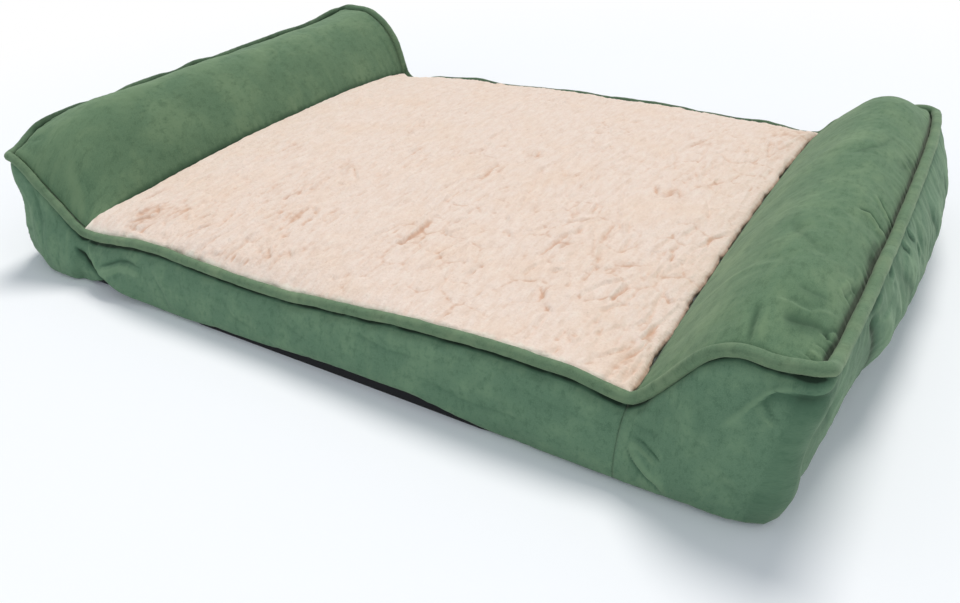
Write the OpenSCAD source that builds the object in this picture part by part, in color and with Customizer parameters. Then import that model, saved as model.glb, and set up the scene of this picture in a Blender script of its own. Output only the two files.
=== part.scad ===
// Dog sofa bed: a quilted foam mattress between two raised end bolsters.
// Units are millimetres. X runs along the bed, the front faces -Y, and Z = 0 is the floor.

/* [Overall] */
// Length of the bed, piping to piping
bed_l = 1016; // [860:1:1200]
// Depth of the bed, piping to piping
bed_w = 710; // [600:1:820]
// Width of each bolster, from its seam on the mattress to the outer piping
bolster_w = 145; // [120:1:180]
// Radius of the upper corners, in plan
corner_r = 14; // [12:1:24]
// Radius of the lower corners, in plan
lower_corner_r = 26; // [25:1:60]

/* [Mattress] */
// Height of the sleeping surface at its front left corner
front_left_z = 66; // [58:1:80]
// Height of the sleeping surface at its front right corner
front_right_z = 74; // [60:1:85]
// Height of the sleeping surface at its back left corner
back_left_z = 87; // [75:1:98]
// Height of the sleeping surface at its back right corner
back_right_z = 83; // [72:1:95]
// Rise of the bolster seams in the middle of their length
seam_rise = 23; // [12:1:30]
// Rise of the front edge in the middle of its length
front_rise = 10; // [2:1:16]
// Rise of the back edge in the middle of its length
back_rise = 6; // [2:1:20]

/* [Left bolster] */
// Height of the crest over the front wall
left_front_crest = 154; // [130:1:175]
// Height of the crest halfway along
left_mid_crest = 199; // [180:1:215]
// Height of the crest over the back wall
left_back_crest = 198; // [175:1:210]
// Height of the outer piping at the front corner
left_front_welt = 152; // [130:1:170]
// Height of the outer piping halfway along
left_mid_welt = 181; // [160:1:190]
// Height of the outer piping at the back corner
left_back_welt = 194; // [165:1:200]

/* [Right bolster] */
// Height of the crest over the front wall
right_front_crest = 153; // [130:1:170]
// Height of the crest halfway along
right_mid_crest = 175; // [155:1:195]
// Height of the crest over the back wall
right_back_crest = 144; // [130:1:170]
// Height of the outer piping at the front corner
right_front_welt = 151; // [125:1:165]
// Height of the outer piping halfway along
right_mid_welt = 141; // [120:1:160]
// Height of the outer piping at the back corner
right_back_welt = 134; // [115:1:155]

/* [Walls] */
// Thickness of the padded wall cloth
wall_t = 3; // [2:0.5:5]
// How far the front piping bows out in the middle
front_bow = 4; // [0:1:15]
// How far the back piping bows out in the middle
back_bow = 1; // [0:1:10]
// How far the end piping bows out in the middle
side_bow = 5; // [0:1:12]
// How far the front wall leans out at its foot, in the middle
front_lean = 19; // [8:1:28]
// How far the walls lean out at their foot by the bolster seams
seam_lean = 24; // [16:1:28]
// How far the walls lean out at their foot by the corners
corner_lean = 8; // [2:1:14]
// Swell of the front and back walls of the bolsters
arch_bulge = 8; // [4:1:14]
// Swell of the front wall in the middle
mid_bulge = 4; // [0:1:10]
// Swell of the left end wall by the front corner
left_front_bulge = 18; // [4:1:24]
// Swell of the left end wall halfway along
left_mid_bulge = 26; // [14:1:32]
// Swell of the left end wall by the back corner
left_back_bulge = 18; // [4:1:24]
// Swell of the right end wall by the front corner
right_front_bulge = 2; // [0:1:24]
// Swell of the right end wall halfway along
right_mid_bulge = 28; // [14:1:32]
// Swell of the right end wall by the back corner
right_back_bulge = 20; // [4:1:24]
// How far the front and back walls turn in at the floor
front_turn = 4; // [2:1:10]
// How far the left end wall turns in at the floor
left_turn = 8; // [4:1:20]
// How far the right end wall turns in at the floor
right_turn = 20; // [4:1:20]

/* [Cover] */
// Thickness of the bolster top cloth
top_t = 3; // [2:0.5:5]
// Thickness of the fleece face of the quilt, at its stitch lines
fleece_t = 3; // [2:0.5:5]
// Puff of each quilted cell over the stitch lines
quilt_puff = 3.5; // [1:0.5:6]
// Thickness of the quilt's wadding
wadding_t = 8; // [4:1:15]
// Thickness of the quilt's backing cloth
backing_t = 1; // [0.5:0.1:2]
// Thickness of the non-slip underside
floor_t = 2.5; // [1.5:0.5:4]
// Thickness of the partitions between mattress and bolsters
divider_t = 1.2; // [0.8:0.1:2]
// Thickness of the bags that hold the bolster filling
bag_t = 1; // [0.8:0.1:2]

/* [Piping] */
// Radius of the covered piping
welt_r = 5.5; // [5:0.5:6.5]
// Radius of the cord inside the piping
cord_r = 3.5; // [2:0.5:4]

/* [Zip] */
// Height of the zip on the back wall
zip_z = 36; // [30:1:42]
// Distance of the zip's middle line behind the back piping
zip_lean = 21; // [12:1:24]
// Height of the slot that shows the zip
slot_h = 13; // [12:0.5:16]
// Height of each zip tape
tape_h = 12; // [9:1:14]
// Thickness of the zip tape
tape_t = 0.8; // [0.5:0.1:1]
// Diameter of each coil row
coil_d = 2.6; // [2.2:0.1:3]
// Gap between the two coil rows
coil_gap = 1; // [0.8:0.1:1.2]
// Distance from each end of the tape to the coil
coil_end = 12; // [10:1:20]
// Length of the zip slider
slider_l = 12; // [9:1:15]
// Height of the zip slider
slider_h = 9.8; // [9.4:0.1:10.4]
// Thickness of the slider's plates
plate_t = 1.2; // [1:0.1:1.5]
// Length of the zip pull
pull_l = 27; // [20:1:34]
// Height of the zip pull
pull_h = 7; // [6:0.5:9]
// Thickness of the zip pull
pull_t = 1.2; // [1:0.1:1.5]

/* [Hidden] */
// Clearance at seams and between moving pieces
gap = 0.3;
// Clearance between stacked soft layers
layer_gap = 0.5;
// Clearance over the bolster filling
fill_gap = 2;
// Overrun of a cut past the face that it leaves
over = 1;

// Half sizes and the bolster seams
half_l = bed_l / 2;
half_w = bed_w / 2;
seam_x = half_l - bolster_w;
welt_clear = welt_r + gap;
wall_foot = floor_t + gap;

// Shares that shape the swells, as parts of one
fullness_share = 3.4;
end_share = 0.2;
turn_share = 0.75;
station_share = 1.5;
lean_share = 4;

// Shares of the slider: its plates' ends, their widest place, its lips, its wedge and the stops
plate_tail_share = 0.86;
plate_nose_share = 0.7;
plate_wide_share = 2 / 3;
post_share = 0.25;
stop_share = 1.2;

// Rise of each bolster from its seam: share of the width at the crest, then steepness
left_crest_share = [0.95, 0.62, 0.55];
right_crest_share = [0.56, 0.62, 0.6];
left_steep_share = [1, 0.85, 0.9];
right_steep_share = [1.45, 1, 0.9];

// Rows of a wall, from the floor up, as shares of its height from the top
wall_row_share = [1, 0.93, 0.8, 0.6, 0.4, 0.2, 0];

// Counts along the piping: mattress edge, bolster arch, corner and end
edge_n = 14;
arch_n = 7;
corner_n = 3;
side_n = 12;
welt_sides = 8;
cord_sides = 6;

// Quilt nodes across and along the sleeping surface, and those of the plain layers
quilt_nx = 36;
quilt_ny = 30;
layer_n = 6;

// Heights at the seams, crests and outer piping: front, middle, back
seam_corner_z = [[front_left_z, back_left_z], [front_right_z, back_right_z]];
crest_z = [
    [left_front_crest, left_mid_crest, left_back_crest],
    [right_front_crest, right_mid_crest, right_back_crest]
];
outer_z = [
    [left_front_welt, left_mid_welt, left_back_welt],
    [right_front_welt, right_mid_welt, right_back_welt]
];
crest_share = [left_crest_share, right_crest_share];
steep_share = [left_steep_share, right_steep_share];
bulge = [
    [left_front_bulge, left_mid_bulge, left_back_bulge],
    [right_front_bulge, right_mid_bulge, right_back_bulge]
];
turn = [left_turn, right_turn];

// Places of the zip, behind the cloth of the back wall
zip_wall_y = half_w + zip_lean;
zip_y = zip_wall_y - wall_t / 2 - gap - tape_t / 2;
tape_l = 2 * (seam_x - coil_end);
coil_l = tape_l - 2 * coil_end;
coil_top = coil_gap / 2 + coil_d;
stop_l = 3;
stop_t = stop_share * coil_d;
slider_x = coil_l / 2 - gap - slider_l / 2;
slider_in = coil_d / 2 + gap;
post_t = coil_gap - 2 * gap;
post_l = slider_l * post_share;
eye_r = 0.6;
eye_y = zip_y + slider_in + plate_t + gap + pull_t / 2;
bail_h = gap + pull_t + gap;
bail_t = 1;
bail_w = 1.4;
bail_l = 7;
arm_h = 1.5;
arm_l = 7;

colour_cloth = [0.27, 0.43, 0.31];
colour_fleece = [0.93, 0.83, 0.73];
colour_black = [0.07, 0.07, 0.08];
colour_white = [0.93, 0.93, 0.9];
colour_foam = [0.93, 0.88, 0.62];
colour_metal = [0.62, 0.62, 0.64];

// Helpers for numbers and lists

function mix(a, b, t) = a + (b - a) * t;
function clamp01(t) = min(1, max(0, t));
// Nothing at both ends, one in the middle, and flatter there as p grows
function swell(t, p) = 1 - pow(abs(2 * t - 1), p);
function flat(rows) = [for (row = rows) for (item = row) item];
function reverse(items) = [for (i = [len(items) - 1 : -1 : 0]) items[i]];
function unit(v) = v / norm(v);
// Front, middle and back values blended along the bed's depth, changing fastest near the ends
function along(vals, v) =
    vals[1] + (vals[0] - vals[1]) * pow(max(0, 1 - v / end_share), 2)
    + (vals[2] - vals[1]) * pow(max(0, 1 - (1 - v) / end_share), 2);

// Heights of the top surfaces

// Height of a bolster seam: side 0 is left and 1 is right, v runs from front to back
function seam_z(side, v) =
    mix(seam_corner_z[side][0], seam_corner_z[side][1], v) + seam_rise * swell(v, fullness_share);
// Height of the sleeping surface: a runs from left seam to right seam
function bed_z(a, v) =
    mix(seam_z(0, v), seam_z(1, v), a) + mix(front_rise, back_rise, v) * swell(a, fullness_share);
// Height of a bolster's top: t runs from its seam to the outer piping
function bolster_z(side, t, v) =
    let (top = along(crest_z[side], v), full = along(crest_share[side], v))
    t < full
        ? mix(seam_z(side, v), top, pow(sin(90 * t / full), along(steep_share[side], v)))
        : mix(top, along(outer_z[side], v), pow((t - full) / (1 - full), 2));
function edge_y(a, v) =
    mix(-half_w - front_bow * swell(a, 2), half_w + back_bow * swell(a, 2), v);

// Stations along the piping, counter-clockwise from the front left seam
// Each is [place, outward normal, way in for the lower corner, lean, bulge, turn]

function at(x, y, nx, ny, cx, cy, lean, bulge, turn) = [
    [x, y, abs(x) <= seam_x
        ? bed_z((x + seam_x) / (2 * seam_x), y < 0 ? 0 : 1)
        : bolster_z(x < 0 ? 0 : 1, clamp01((abs(x) - seam_x) / bolster_w),
                    clamp01((y + half_w) / bed_w))],
    [nx, ny, 0], [cx, cy, 0], lean, bulge, turn
];
// Swell of an end wall, a parabola through its three values
function end_bulge(side, v) =
    bulge[side][0] * (1 - v) * (1 - 2 * v) + bulge[side][1] * 4 * v * (1 - v)
    + bulge[side][2] * v * (2 * v - 1);
function mattress_edge(back) = [
    for (i = [0 : edge_n])
        let (a = back ? 1 - i / edge_n : i / edge_n, s = swell(a, 2))
        at(mix(-seam_x, seam_x, a), edge_y(a, back ? 1 : 0), 0, back ? 1 : -1, 0, 0,
           mix(seam_lean, front_lean, s), mix(arch_bulge, mid_bulge, s), front_turn)
];
// One bolster's arch and corner, from the seam outwards: sx and sy are the corner's signs
function quarter(sx, sy) = concat(
    [for (i = [1 : arch_n])
        let (t = pow(i / arch_n, station_share))
        at(sx * mix(seam_x, half_l - corner_r, t), sy * half_w, 0, sy,
           i == arch_n ? -sx : 0, 0, mix(seam_lean, corner_lean, pow(t, lean_share)), arch_bulge,
           front_turn)],
    [for (i = [1 : corner_n])
        let (
            n = [sin(90 * i / corner_n), cos(90 * i / corner_n)],
            side = sx < 0 ? 0 : 1,
            v = sy < 0 ? 0 : 1
        )
        at(sx * (half_l - corner_r + corner_r * n.x), sy * (half_w - corner_r + corner_r * n.y),
           sx * n.x, sy * n.y, sx * (n.x - 1), sy * (n.y - 1), corner_lean * n.y * n.y,
           mix(arch_bulge, end_bulge(side, v), n.x * n.x),
           mix(front_turn, turn[side], n.x * n.x))]
);
function end_side(sx, back_first) = [
    for (i = [1 : side_n - 1])
        let (v = back_first ? 1 - i / side_n : i / side_n, side = sx < 0 ? 0 : 1)
        at(sx * (half_l + side_bow * swell(v, 2)), mix(-half_w + corner_r, half_w - corner_r, v),
           sx, 0, 0, 0, 0, end_bulge(side, v), turn[side])
];
stations = concat(
    mattress_edge(false), quarter(1, -1), end_side(1, false), reverse(quarter(1, 1)),
    mattress_edge(true), quarter(-1, 1), end_side(-1, true), reverse(quarter(-1, -1))
);
count = len(stations);
back_start = edge_n + 2 * (arch_n + corner_n) + side_n;
back_end = back_start + edge_n;
function wrap(k) = (k + count) % count;
function place(k) = stations[wrap(k)][0];
// Steepness with which the piping drops from one station to the next
function fall(k, other) =
    (place(k).z - place(other).z)
    / norm([place(k).x - place(other).x, place(k).y - place(other).y]);
// The wall's upper edge keeps clear of the piping, also where that climbs
function wall_top(k, first, last) =
    let (
        before = k > first ? abs(fall(k, k - 1)) : 0,
        after = k < last ? abs(fall(k, k + 1)) : 0
    )
    place(k).z - welt_clear * sqrt(1 + pow(max(before, after), 2));

// A point on a wall: w runs from its upper edge to the floor, depth goes into the cloth
function wall_point(k, w, depth, slip, top) =
    let (
        s = stations[wrap(k)],
        turned = s[5] * pow(max(0, (w - turn_share) / (1 - turn_share)), 2),
        out = s[3] * w + s[4] * sin(180 * w) - turned + wall_t / 2 - depth,
        p = s[0] + s[2] * (lower_corner_r - corner_r) * w + s[1] * out
    )
    [p.x + slip, p.y, mix(top, wall_foot, w)];
// Half a seam's clearance at the first and last station of a wall
function slip(k, first, last) =
    sign(-stations[wrap(k)][1].y) * (k == first ? gap / 2 : k == last ? -gap / 2 : 0);
function wall_grid(first, last, depth) = [
    for (k = [first : last]) [
        for (w = wall_row_share)
            wall_point(k, w, depth, slip(k, first, last), wall_top(k, first, last))
    ]
];

// Faces of closed forms. Grids are lists of columns, seen from outside with rows going up.

function grid_faces(nu, nv, start, flip) = flat([
    for (i = [0 : nu - 1]) for (j = [0 : nv - 1])
        let (
            a = start + i * (nv + 1) + j,
            b = a + 1,
            c = a + nv + 2,
            d = a + nv + 1
        )
        flip ? [[a, c, b], [a, d, c]] : [[a, b, c], [a, c, d]]
]);
// A strip between two runs of points, where the first run has whole steps more than the second
function strip_faces(fine, coarse) =
    let (step = (len(fine) - 1) / (len(coarse) - 1), half = floor(step / 2))
    flat([
        for (j = [0 : len(coarse) - 2]) concat(
            [for (i = [0 : step - 1])
                [fine[j * step + i], fine[j * step + i + 1], coarse[i < half ? j : j + 1]]],
            [[fine[j * step + half], coarse[j + 1], coarse[j]]]
        )
    ]);
// A closed layer between an outer grid and a coarser or equal inner grid
module layer(outer, inner) {
    nu = len(outer) - 1;
    nv = len(outer[0]) - 1;
    mu = len(inner) - 1;
    mv = len(inner[0]) - 1;
    start = (nu + 1) * (nv + 1);
    polyhedron(
        points = concat(flat(outer), flat(inner)),
        faces = concat(
            grid_faces(nu, nv, 0, false),
            grid_faces(mu, mv, start, true),
            strip_faces([for (i = [0 : nu]) i * (nv + 1)],
                        [for (i = [0 : mu]) start + i * (mv + 1)]),
            strip_faces([for (i = [nu : -1 : 0]) i * (nv + 1) + nv],
                        [for (i = [mu : -1 : 0]) start + i * (mv + 1) + mv]),
            strip_faces([for (j = [nv : -1 : 0]) j],
                        [for (j = [mv : -1 : 0]) start + j]),
            strip_faces([for (j = [0 : nv]) nu * (nv + 1) + j],
                        [for (j = [0 : mv]) start + mu * (mv + 1) + j])
        )
    );
}
// A closed ring of tube along the piping's line
module tube_loop(r, sides) {
    ring = [
        for (k = [0 : count - 1])
            let (
                along_line = unit(place(k + 1) - place(k - 1)),
                down = unit(cross(along_line, stations[k][1])),
                out = cross(down, along_line)
            )
            [for (j = [0 : sides - 1])
                place(k) + r * (out * cos(360 * j / sides) + down * sin(360 * j / sides))]
    ];
    polyhedron(
        points = flat(ring),
        faces = flat([
            for (k = [0 : count - 1]) for (j = [0 : sides - 1])
                let (
                    a = k * sides + j,
                    b = ((k + 1) % count) * sides + j,
                    c = ((k + 1) % count) * sides + (j + 1) % sides,
                    d = k * sides + (j + 1) % sides
                )
                [[a, b, c], [a, c, d]]
        ])
    );
}
// A closed form lofted through rings, with a fan at each end
module loft(rings) {
    n = len(rings);
    m = len(rings[0]);
    function middle(ring) = [for (ax = [0 : 2]) sum([for (p = ring) p[ax]]) / m];
    polyhedron(
        points = concat(flat(rings), [middle(rings[0]), middle(rings[n - 1])]),
        faces = concat(
            flat([
                for (k = [0 : n - 2]) for (j = [0 : m - 1])
                    let (a = k * m + j, b = k * m + (j + 1) % m)
                    [[a, b, a + m], [b, b + m, a + m]]
            ]),
            [for (j = [0 : m - 1]) [n * m, (j + 1) % m, j]],
            [for (j = [0 : m - 1]) [n * m + 1, (n - 1) * m + j, (n - 1) * m + (j + 1) % m]]
        )
    );
}
function sum(items, i = 0) = i < len(items) ? items[i] + sum(items, i + 1) : 0;

// Sleeping surface

// Every second node of every second row puffs up, shifted by one from row to row
function puff(i, j) =
    i > 0 && j > 0 && i < quilt_nx && j < quilt_ny && j % 2 == 1
    && (i + (j - 1) / 2) % 2 == 1 ? quilt_puff : 0;
function panel_point(a, v, side_in, end_in, z) = [
    mix(-seam_x + side_in, seam_x - side_in, a),
    edge_y(a, v) + mix(end_in, -end_in, v),
    z
];
function layer_grid(side_in, end_in, depth) = [
    for (i = [0 : layer_n]) [
        for (j = [0 : layer_n])
            let (a = i / layer_n, v = j / layer_n)
            panel_point(a, v, side_in, end_in, bed_z(a, v) - depth)
    ]
];
inner_in = divider_t / 2 + gap;
wadding_top = fleece_t + layer_gap;
backing_top = wadding_top + wadding_t + layer_gap;
foam_top = backing_top + backing_t + layer_gap;

module sleep_panel() {
    color(colour_fleece)
    layer(
        [for (i = [0 : quilt_nx]) [
            for (j = [0 : quilt_ny])
                let (a = i / quilt_nx, v = j / quilt_ny)
                panel_point(a, v, gap / 2, welt_clear, bed_z(a, v) + puff(i, j))
        ]],
        layer_grid(gap / 2, welt_clear, fleece_t)
    );
}
module quilt_wadding() {
    color(colour_white)
    layer(
        layer_grid(inner_in, welt_clear, wadding_top),
        layer_grid(inner_in, welt_clear, wadding_top + wadding_t)
    );
}
module quilt_backing() {
    color(colour_white)
    layer(
        layer_grid(inner_in, welt_clear, backing_top),
        layer_grid(inner_in, welt_clear, backing_top + backing_t)
    );
}
// The foam's foot follows the lean of the front and back walls
foam_foot_in = front_turn + wall_t / 2 + layer_gap;
function foam_foot(a, v) =
    let (
        s = swell(a, 2),
        front = -half_w - front_bow * s - mix(seam_lean, front_lean, s) + foam_foot_in,
        back = zip_wall_y - foam_foot_in
    )
    [mix(-seam_x + inner_in, seam_x - inner_in, a), mix(front, back, v), wall_foot];
module mattress_foam() {
    color(colour_foam)
    layer(
        layer_grid(inner_in, welt_clear, foam_top),
        [for (i = [0 : layer_n]) [for (j = [0 : layer_n]) foam_foot(i / layer_n, j / layer_n)]]
    );
}

// Bolster tops, sewn to the mattress seam and to the piping

// Columns go from the seam outwards and rows from front to back
function top_x(i, j) =
    let (v = (j - 1) / side_n)
    i <= arch_n
        ? mix(seam_x, half_l - corner_r, pow(i / arch_n, station_share)) + (i == 0 ? gap / 2 : 0)
        : j == 0 || j == side_n + 2
            ? half_l - corner_r + (corner_r - welt_clear) * sin(45)
            : half_l + side_bow * swell(v, 2) - welt_clear;
function top_y(i, j) =
    let (last = side_n + 2, end = half_w - corner_r)
    j > 0 && j < last
        ? mix(-end, end, (j - 1) / side_n)
        : (j == 0 ? -1 : 1)
            * (i <= arch_n ? half_w - welt_clear : end + (corner_r - welt_clear) * sin(45));
function top_point(side, i, j) =
    let (x = top_x(i, j), y = top_y(i, j))
    [x, y, bolster_z(side, clamp01((x - seam_x) / bolster_w), (y + half_w) / bed_w)];
function top_grid(side, depth) = [
    for (i = [0 : arch_n + 1])
        [for (j = [0 : side_n + 2]) top_point(side, i, j) - [0, 0, depth]]
];
module bolster_top(side) {
    color(colour_cloth)
    mirror([side == 0 ? 1 : 0, 0, 0])
    layer(top_grid(side, 0), top_grid(side, top_t));
}
module left_bolster_top() bolster_top(0);
module right_bolster_top() bolster_top(1);

// Walls

module wall(first, last) {
    color(colour_cloth)
    layer(wall_grid(first, last, 0), wall_grid(first, last, wall_t));
}
module front_band() wall(0, edge_n);
module right_end_wrap() wall(edge_n, back_start);
module left_end_wrap() wall(back_end, count);

// The back wall is in two parts, above and below the zip
slot_top = zip_z + slot_h / 2;
slot_foot = zip_z - slot_h / 2;
tape_reach = coil_top + tape_h + gap;
upper_row_share = [0, 0.35, 0.7, 1];
lower_row_share = [0, 0.3, 0.6, 1];
turn_end_share = 0.6;
function back_slip(k) = slip(k, back_start, back_end);
// Above its tape the wall leans in to the piping
function upper_point(k, r, depth) = [
    place(k).x + back_slip(k),
    mix(zip_wall_y, place(k).y, r) + mid_bulge * sin(180 * r) + wall_t / 2 - depth,
    mix(zip_z + tape_reach, wall_top(k, back_start, back_end), r)
];
function upper_column(k, depth) = let (first = upper_point(k, 0, depth)) concat(
    [[first.x, first.y, slot_top]],
    [for (r = upper_row_share) upper_point(k, r, depth)]
);
function lower_point(k, r, depth) = [
    place(k).x + back_slip(k),
    zip_wall_y - front_turn * pow(max(0, 1 - r / turn_end_share), 2) + wall_t / 2 - depth,
    mix(wall_foot, slot_foot, r)
];
module back_band_upper() {
    color(colour_cloth)
    layer(
        [for (k = [back_start : back_end]) upper_column(k, 0)],
        [for (k = [back_start : back_end]) upper_column(k, wall_t)]
    );
}
module back_band_lower() {
    color(colour_cloth)
    layer(
        [for (k = [back_start : back_end]) [for (r = lower_row_share) lower_point(k, r, 0)]],
        [for (k = [back_start : back_end]) [for (r = lower_row_share) lower_point(k, r, wall_t)]]
    );
}
// The underside reaches the outer face of every wall's foot
function foot_point(k) =
    k > back_start && k < back_end ? lower_point(k, 0, 0) : wall_point(k, 1, 0, 0, 0);
module bottom_panel() {
    color(colour_black)
    linear_extrude(floor_t)
    polygon([for (k = [0 : count - 1]) let (p = foot_point(k)) [p.x, p.y]]);
}

// Piping round the whole top edge, a bias strip sewn over a cord

module top_welt() {
    color(colour_cloth)
    difference() {
        tube_loop(welt_r, welt_sides);
        tube_loop(cord_r + gap, cord_sides);
    }
}
module welt_cord() {
    color(colour_white)
    tube_loop(cord_r, cord_sides);
}

// Partitions that close the bolsters towards the mattress

divider_end = half_w - welt_clear - gap;
function divider_grid(side, x) = [
    for (i = [0 : layer_n]) let (v = i / layer_n) [
        [x, mix(-divider_end, divider_end, v), wall_foot],
        [x, mix(-divider_end, divider_end, v), seam_z(side, v) - max(top_t, fleece_t) - layer_gap]
    ]
];
module divider(side) {
    color(colour_white)
    mirror([side == 0 ? 1 : 0, 0, 0])
    layer(divider_grid(side, seam_x + divider_t / 2), divider_grid(side, seam_x - divider_t / 2));
}
module left_divider() divider(0);
module right_divider() divider(1);

// Bolster filling in its bag

// Heights on the end wall where the bag follows it, as shares of that wall
bag_wall_share = [0.8, 0.6, 0.4, 0.2];
bag_in = divider_t / 2 + gap;
bag_last = side_n + 2;
// The rings stand where the rows of the bolster top do, and draw in round the corners
function bag_y(j) =
    let (end = half_w - welt_clear - 2 * gap) max(-end, min(end, top_y(0, j)));
function corner_in(j) =
    j == 0 || j == bag_last
        ? lower_corner_r
        : j == 1 || j == bag_last - 1 ? (lower_corner_r - corner_r) / 2 : 0;
function bag_wall_x(side, j, w) =
    let (v = clamp01((j - 1) / side_n))
    half_l + side_bow * swell(v, 2) + end_bulge(side, v) * sin(180 * w)
    - turn[side] * pow(max(0, (w - turn_share) / (1 - turn_share)), 2)
    - wall_t / 2 - fill_gap - corner_in(j);
function bag_top(side, i, j) =
    [
        max(seam_x + bag_in, top_x(i, j) - (i > arch_n ? fill_gap : 0)),
        bag_y(j),
        top_point(side, i, j).z - top_t - fill_gap
    ];
function bag_ring(side, j) =
    let (y = bag_y(j), shoulder = bag_top(side, arch_n + 1, j).z - welt_r)
    concat(
        [[seam_x + bag_in, y, wall_foot], [bag_wall_x(side, j, 1), y, wall_foot]],
        [for (w = bag_wall_share) [bag_wall_x(side, j, w), y, mix(shoulder, wall_foot, w)]],
        [for (i = [arch_n + 1 : -1 : 0]) bag_top(side, i, j)]
    );
// A ring drawn in by a distance, each corner along the middle of its two edges' normals
function drawn_in(ring, d) = [
    for (j = [0 : len(ring) - 1])
        let (
            p = ring[j],
            m = len(ring),
            e = unit(ring[(j + 1) % m] - p),
            f = unit(p - ring[(j + m - 1) % m]),
            n = unit([-e.z - f.z, 0, e.x + f.x])
        )
        p + d * n
];
function bag_rings(side, d) = [
    for (j = [0 : bag_last])
        [for (p = drawn_in(bag_ring(side, j), d))
            [p.x, p.y + d * (j == 0 ? 1 : j == bag_last ? -1 : 0), p.z]]
];
module bag_form(side, d) {
    mirror([side == 0 ? 1 : 0, 0, 0])
    loft(bag_rings(side, d));
}
module bolster_bag(side) {
    color(colour_white)
    difference() {
        bag_form(side, 0);
        bag_form(side, bag_t);
    }
}
module bolster_fibre(side) {
    color(colour_white)
    bag_form(side, bag_t + gap);
}
module left_bolster_bag() bolster_bag(0);
module right_bolster_bag() bolster_bag(1);
module left_bolster_fibre() bolster_fibre(0);
module right_bolster_fibre() bolster_fibre(1);

// Zip along the back wall. Its slider stands at the closed end, towards +X.

module zip_tape(up) {
    color(colour_cloth)
    translate([-tape_l / 2, zip_y - tape_t / 2, zip_z + (up ? coil_top : -coil_top - tape_h)])
    cube([tape_l, tape_t, tape_h]);
}
module zip_tape_upper() zip_tape(true);
module zip_tape_lower() zip_tape(false);
// A row of nylon coil, with the heel that is sewn to its tape
module zip_coil(up) {
    color(colour_cloth)
    translate([-coil_l / 2, zip_y, zip_z])
    mirror([0, 0, up ? 0 : 1])
    rotate([90, 0, 90])
    linear_extrude(coil_l)
    union() {
        translate([0, (coil_gap + coil_d) / 2])
        circle(d = coil_d, $fn = 32);
        translate([-tape_t / 2, (coil_gap + coil_d) / 2])
        square([tape_t, coil_d / 2]);
    }
}
module zip_coil_upper() zip_coil(true);
module zip_coil_lower() zip_coil(false);
module zip_stop(x) {
    color(colour_metal)
    translate([x - stop_l / 2, zip_y - stop_t / 2, zip_z - coil_top])
    cube([stop_l, stop_t, 2 * coil_top]);
}
stop_x = coil_l / 2 + gap + stop_l / 2;
module zip_stop_closed() zip_stop(stop_x);
module zip_stop_open() zip_stop(-stop_x);

module slider_plate(y) {
    wide_x = slider_l * (plate_wide_share - 1 / 2);
    half_h = slider_h / 2;
    translate([slider_x, y, zip_z])
    rotate([-90, 0, 0])
    linear_extrude(plate_t)
    polygon([
        [-slider_l / 2, -half_h * plate_tail_share], [wide_x, -half_h],
        [slider_l / 2, -half_h * plate_nose_share], [slider_l / 2, half_h * plate_nose_share],
        [wide_x, half_h], [-slider_l / 2, half_h * plate_tail_share]
    ]);
}
// Lips that hold the coils in, above and below and on both faces of the tape
module slider_lip(face, up) {
    depth = slider_in - tape_t / 2 - gap;
    height = slider_h / 2 * plate_tail_share - coil_top - gap;
    translate([
        slider_x - slider_l / 2,
        zip_y + (face > 0 ? tape_t / 2 + gap : -slider_in),
        zip_z + (up > 0 ? coil_top + gap : -coil_top - gap - height)
    ])
    cube([slider_l * plate_wide_share, depth, height]);
}
module zip_slider() {
    color(colour_metal)
    union() {
        slider_plate(zip_y + slider_in);
        slider_plate(zip_y - slider_in - plate_t);
        for (face = [-1, 1], up = [-1, 1]) slider_lip(face, up);
        // Wedge that parts the coils
        translate([slider_x + slider_l / 2 - post_l, zip_y - slider_in, zip_z - post_t / 2])
        cube([post_l, 2 * slider_in, post_t]);
        // Loop that holds the pull
        translate([slider_x, zip_y + slider_in + plate_t, zip_z])
        difference() {
            translate([-bail_l / 2, 0, -bail_w / 2])
            cube([bail_l, bail_h + bail_t, bail_w]);
            translate([-bail_l / 2 + bail_t, -over, -bail_w])
            cube([bail_l - 2 * bail_t, bail_h + over, 2 * bail_w]);
        }
    }
}
// The pull turns about the round bar that passes under the slider's loop
module zip_pull() {
    arm_in = bail_w / 2 + gap;
    color(colour_metal)
    union() {
        translate([slider_x, eye_y, zip_z - arm_in - arm_h])
        cylinder(h = 2 * (arm_in + arm_h), r = eye_r, $fn = 32);
        for (up = [-1, 1])
            translate([
                slider_x - arm_l,
                eye_y - pull_t / 2,
                zip_z + (up > 0 ? arm_in : -arm_in - arm_h)
            ])
            cube([arm_l, pull_t, arm_h]);
        translate([slider_x - arm_l, eye_y + pull_t / 2, zip_z])
        rotate([90, 0, 0])
        linear_extrude(pull_t)
        difference() {
            hull() {
                translate([0, -arm_in - arm_h])
                square([arm_h, 2 * (arm_in + arm_h)]);
                translate([arm_l + pull_h / 2 - pull_l, 0])
                circle(d = pull_h, $fn = 32);
            }
            translate([arm_h, -pull_h])
            square([pull_l, 2 * pull_h]);
        }
    }
}

sleep_panel();
quilt_wadding();
quilt_backing();
mattress_foam();
left_bolster_top();
right_bolster_top();
left_end_wrap();
right_end_wrap();
front_band();
back_band_upper();
back_band_lower();
bottom_panel();
top_welt();
welt_cord();
left_divider();
right_divider();
left_bolster_bag();
right_bolster_bag();
left_bolster_fibre();
right_bolster_fibre();
zip_tape_upper();
zip_tape_lower();
zip_coil_upper();
zip_coil_lower();
zip_stop_closed();
zip_stop_open();
zip_slider();
zip_pull();
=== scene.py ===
import math

import bmesh
import bpy
import numpy as np
from mathutils import Matrix, Vector, noise


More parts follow.
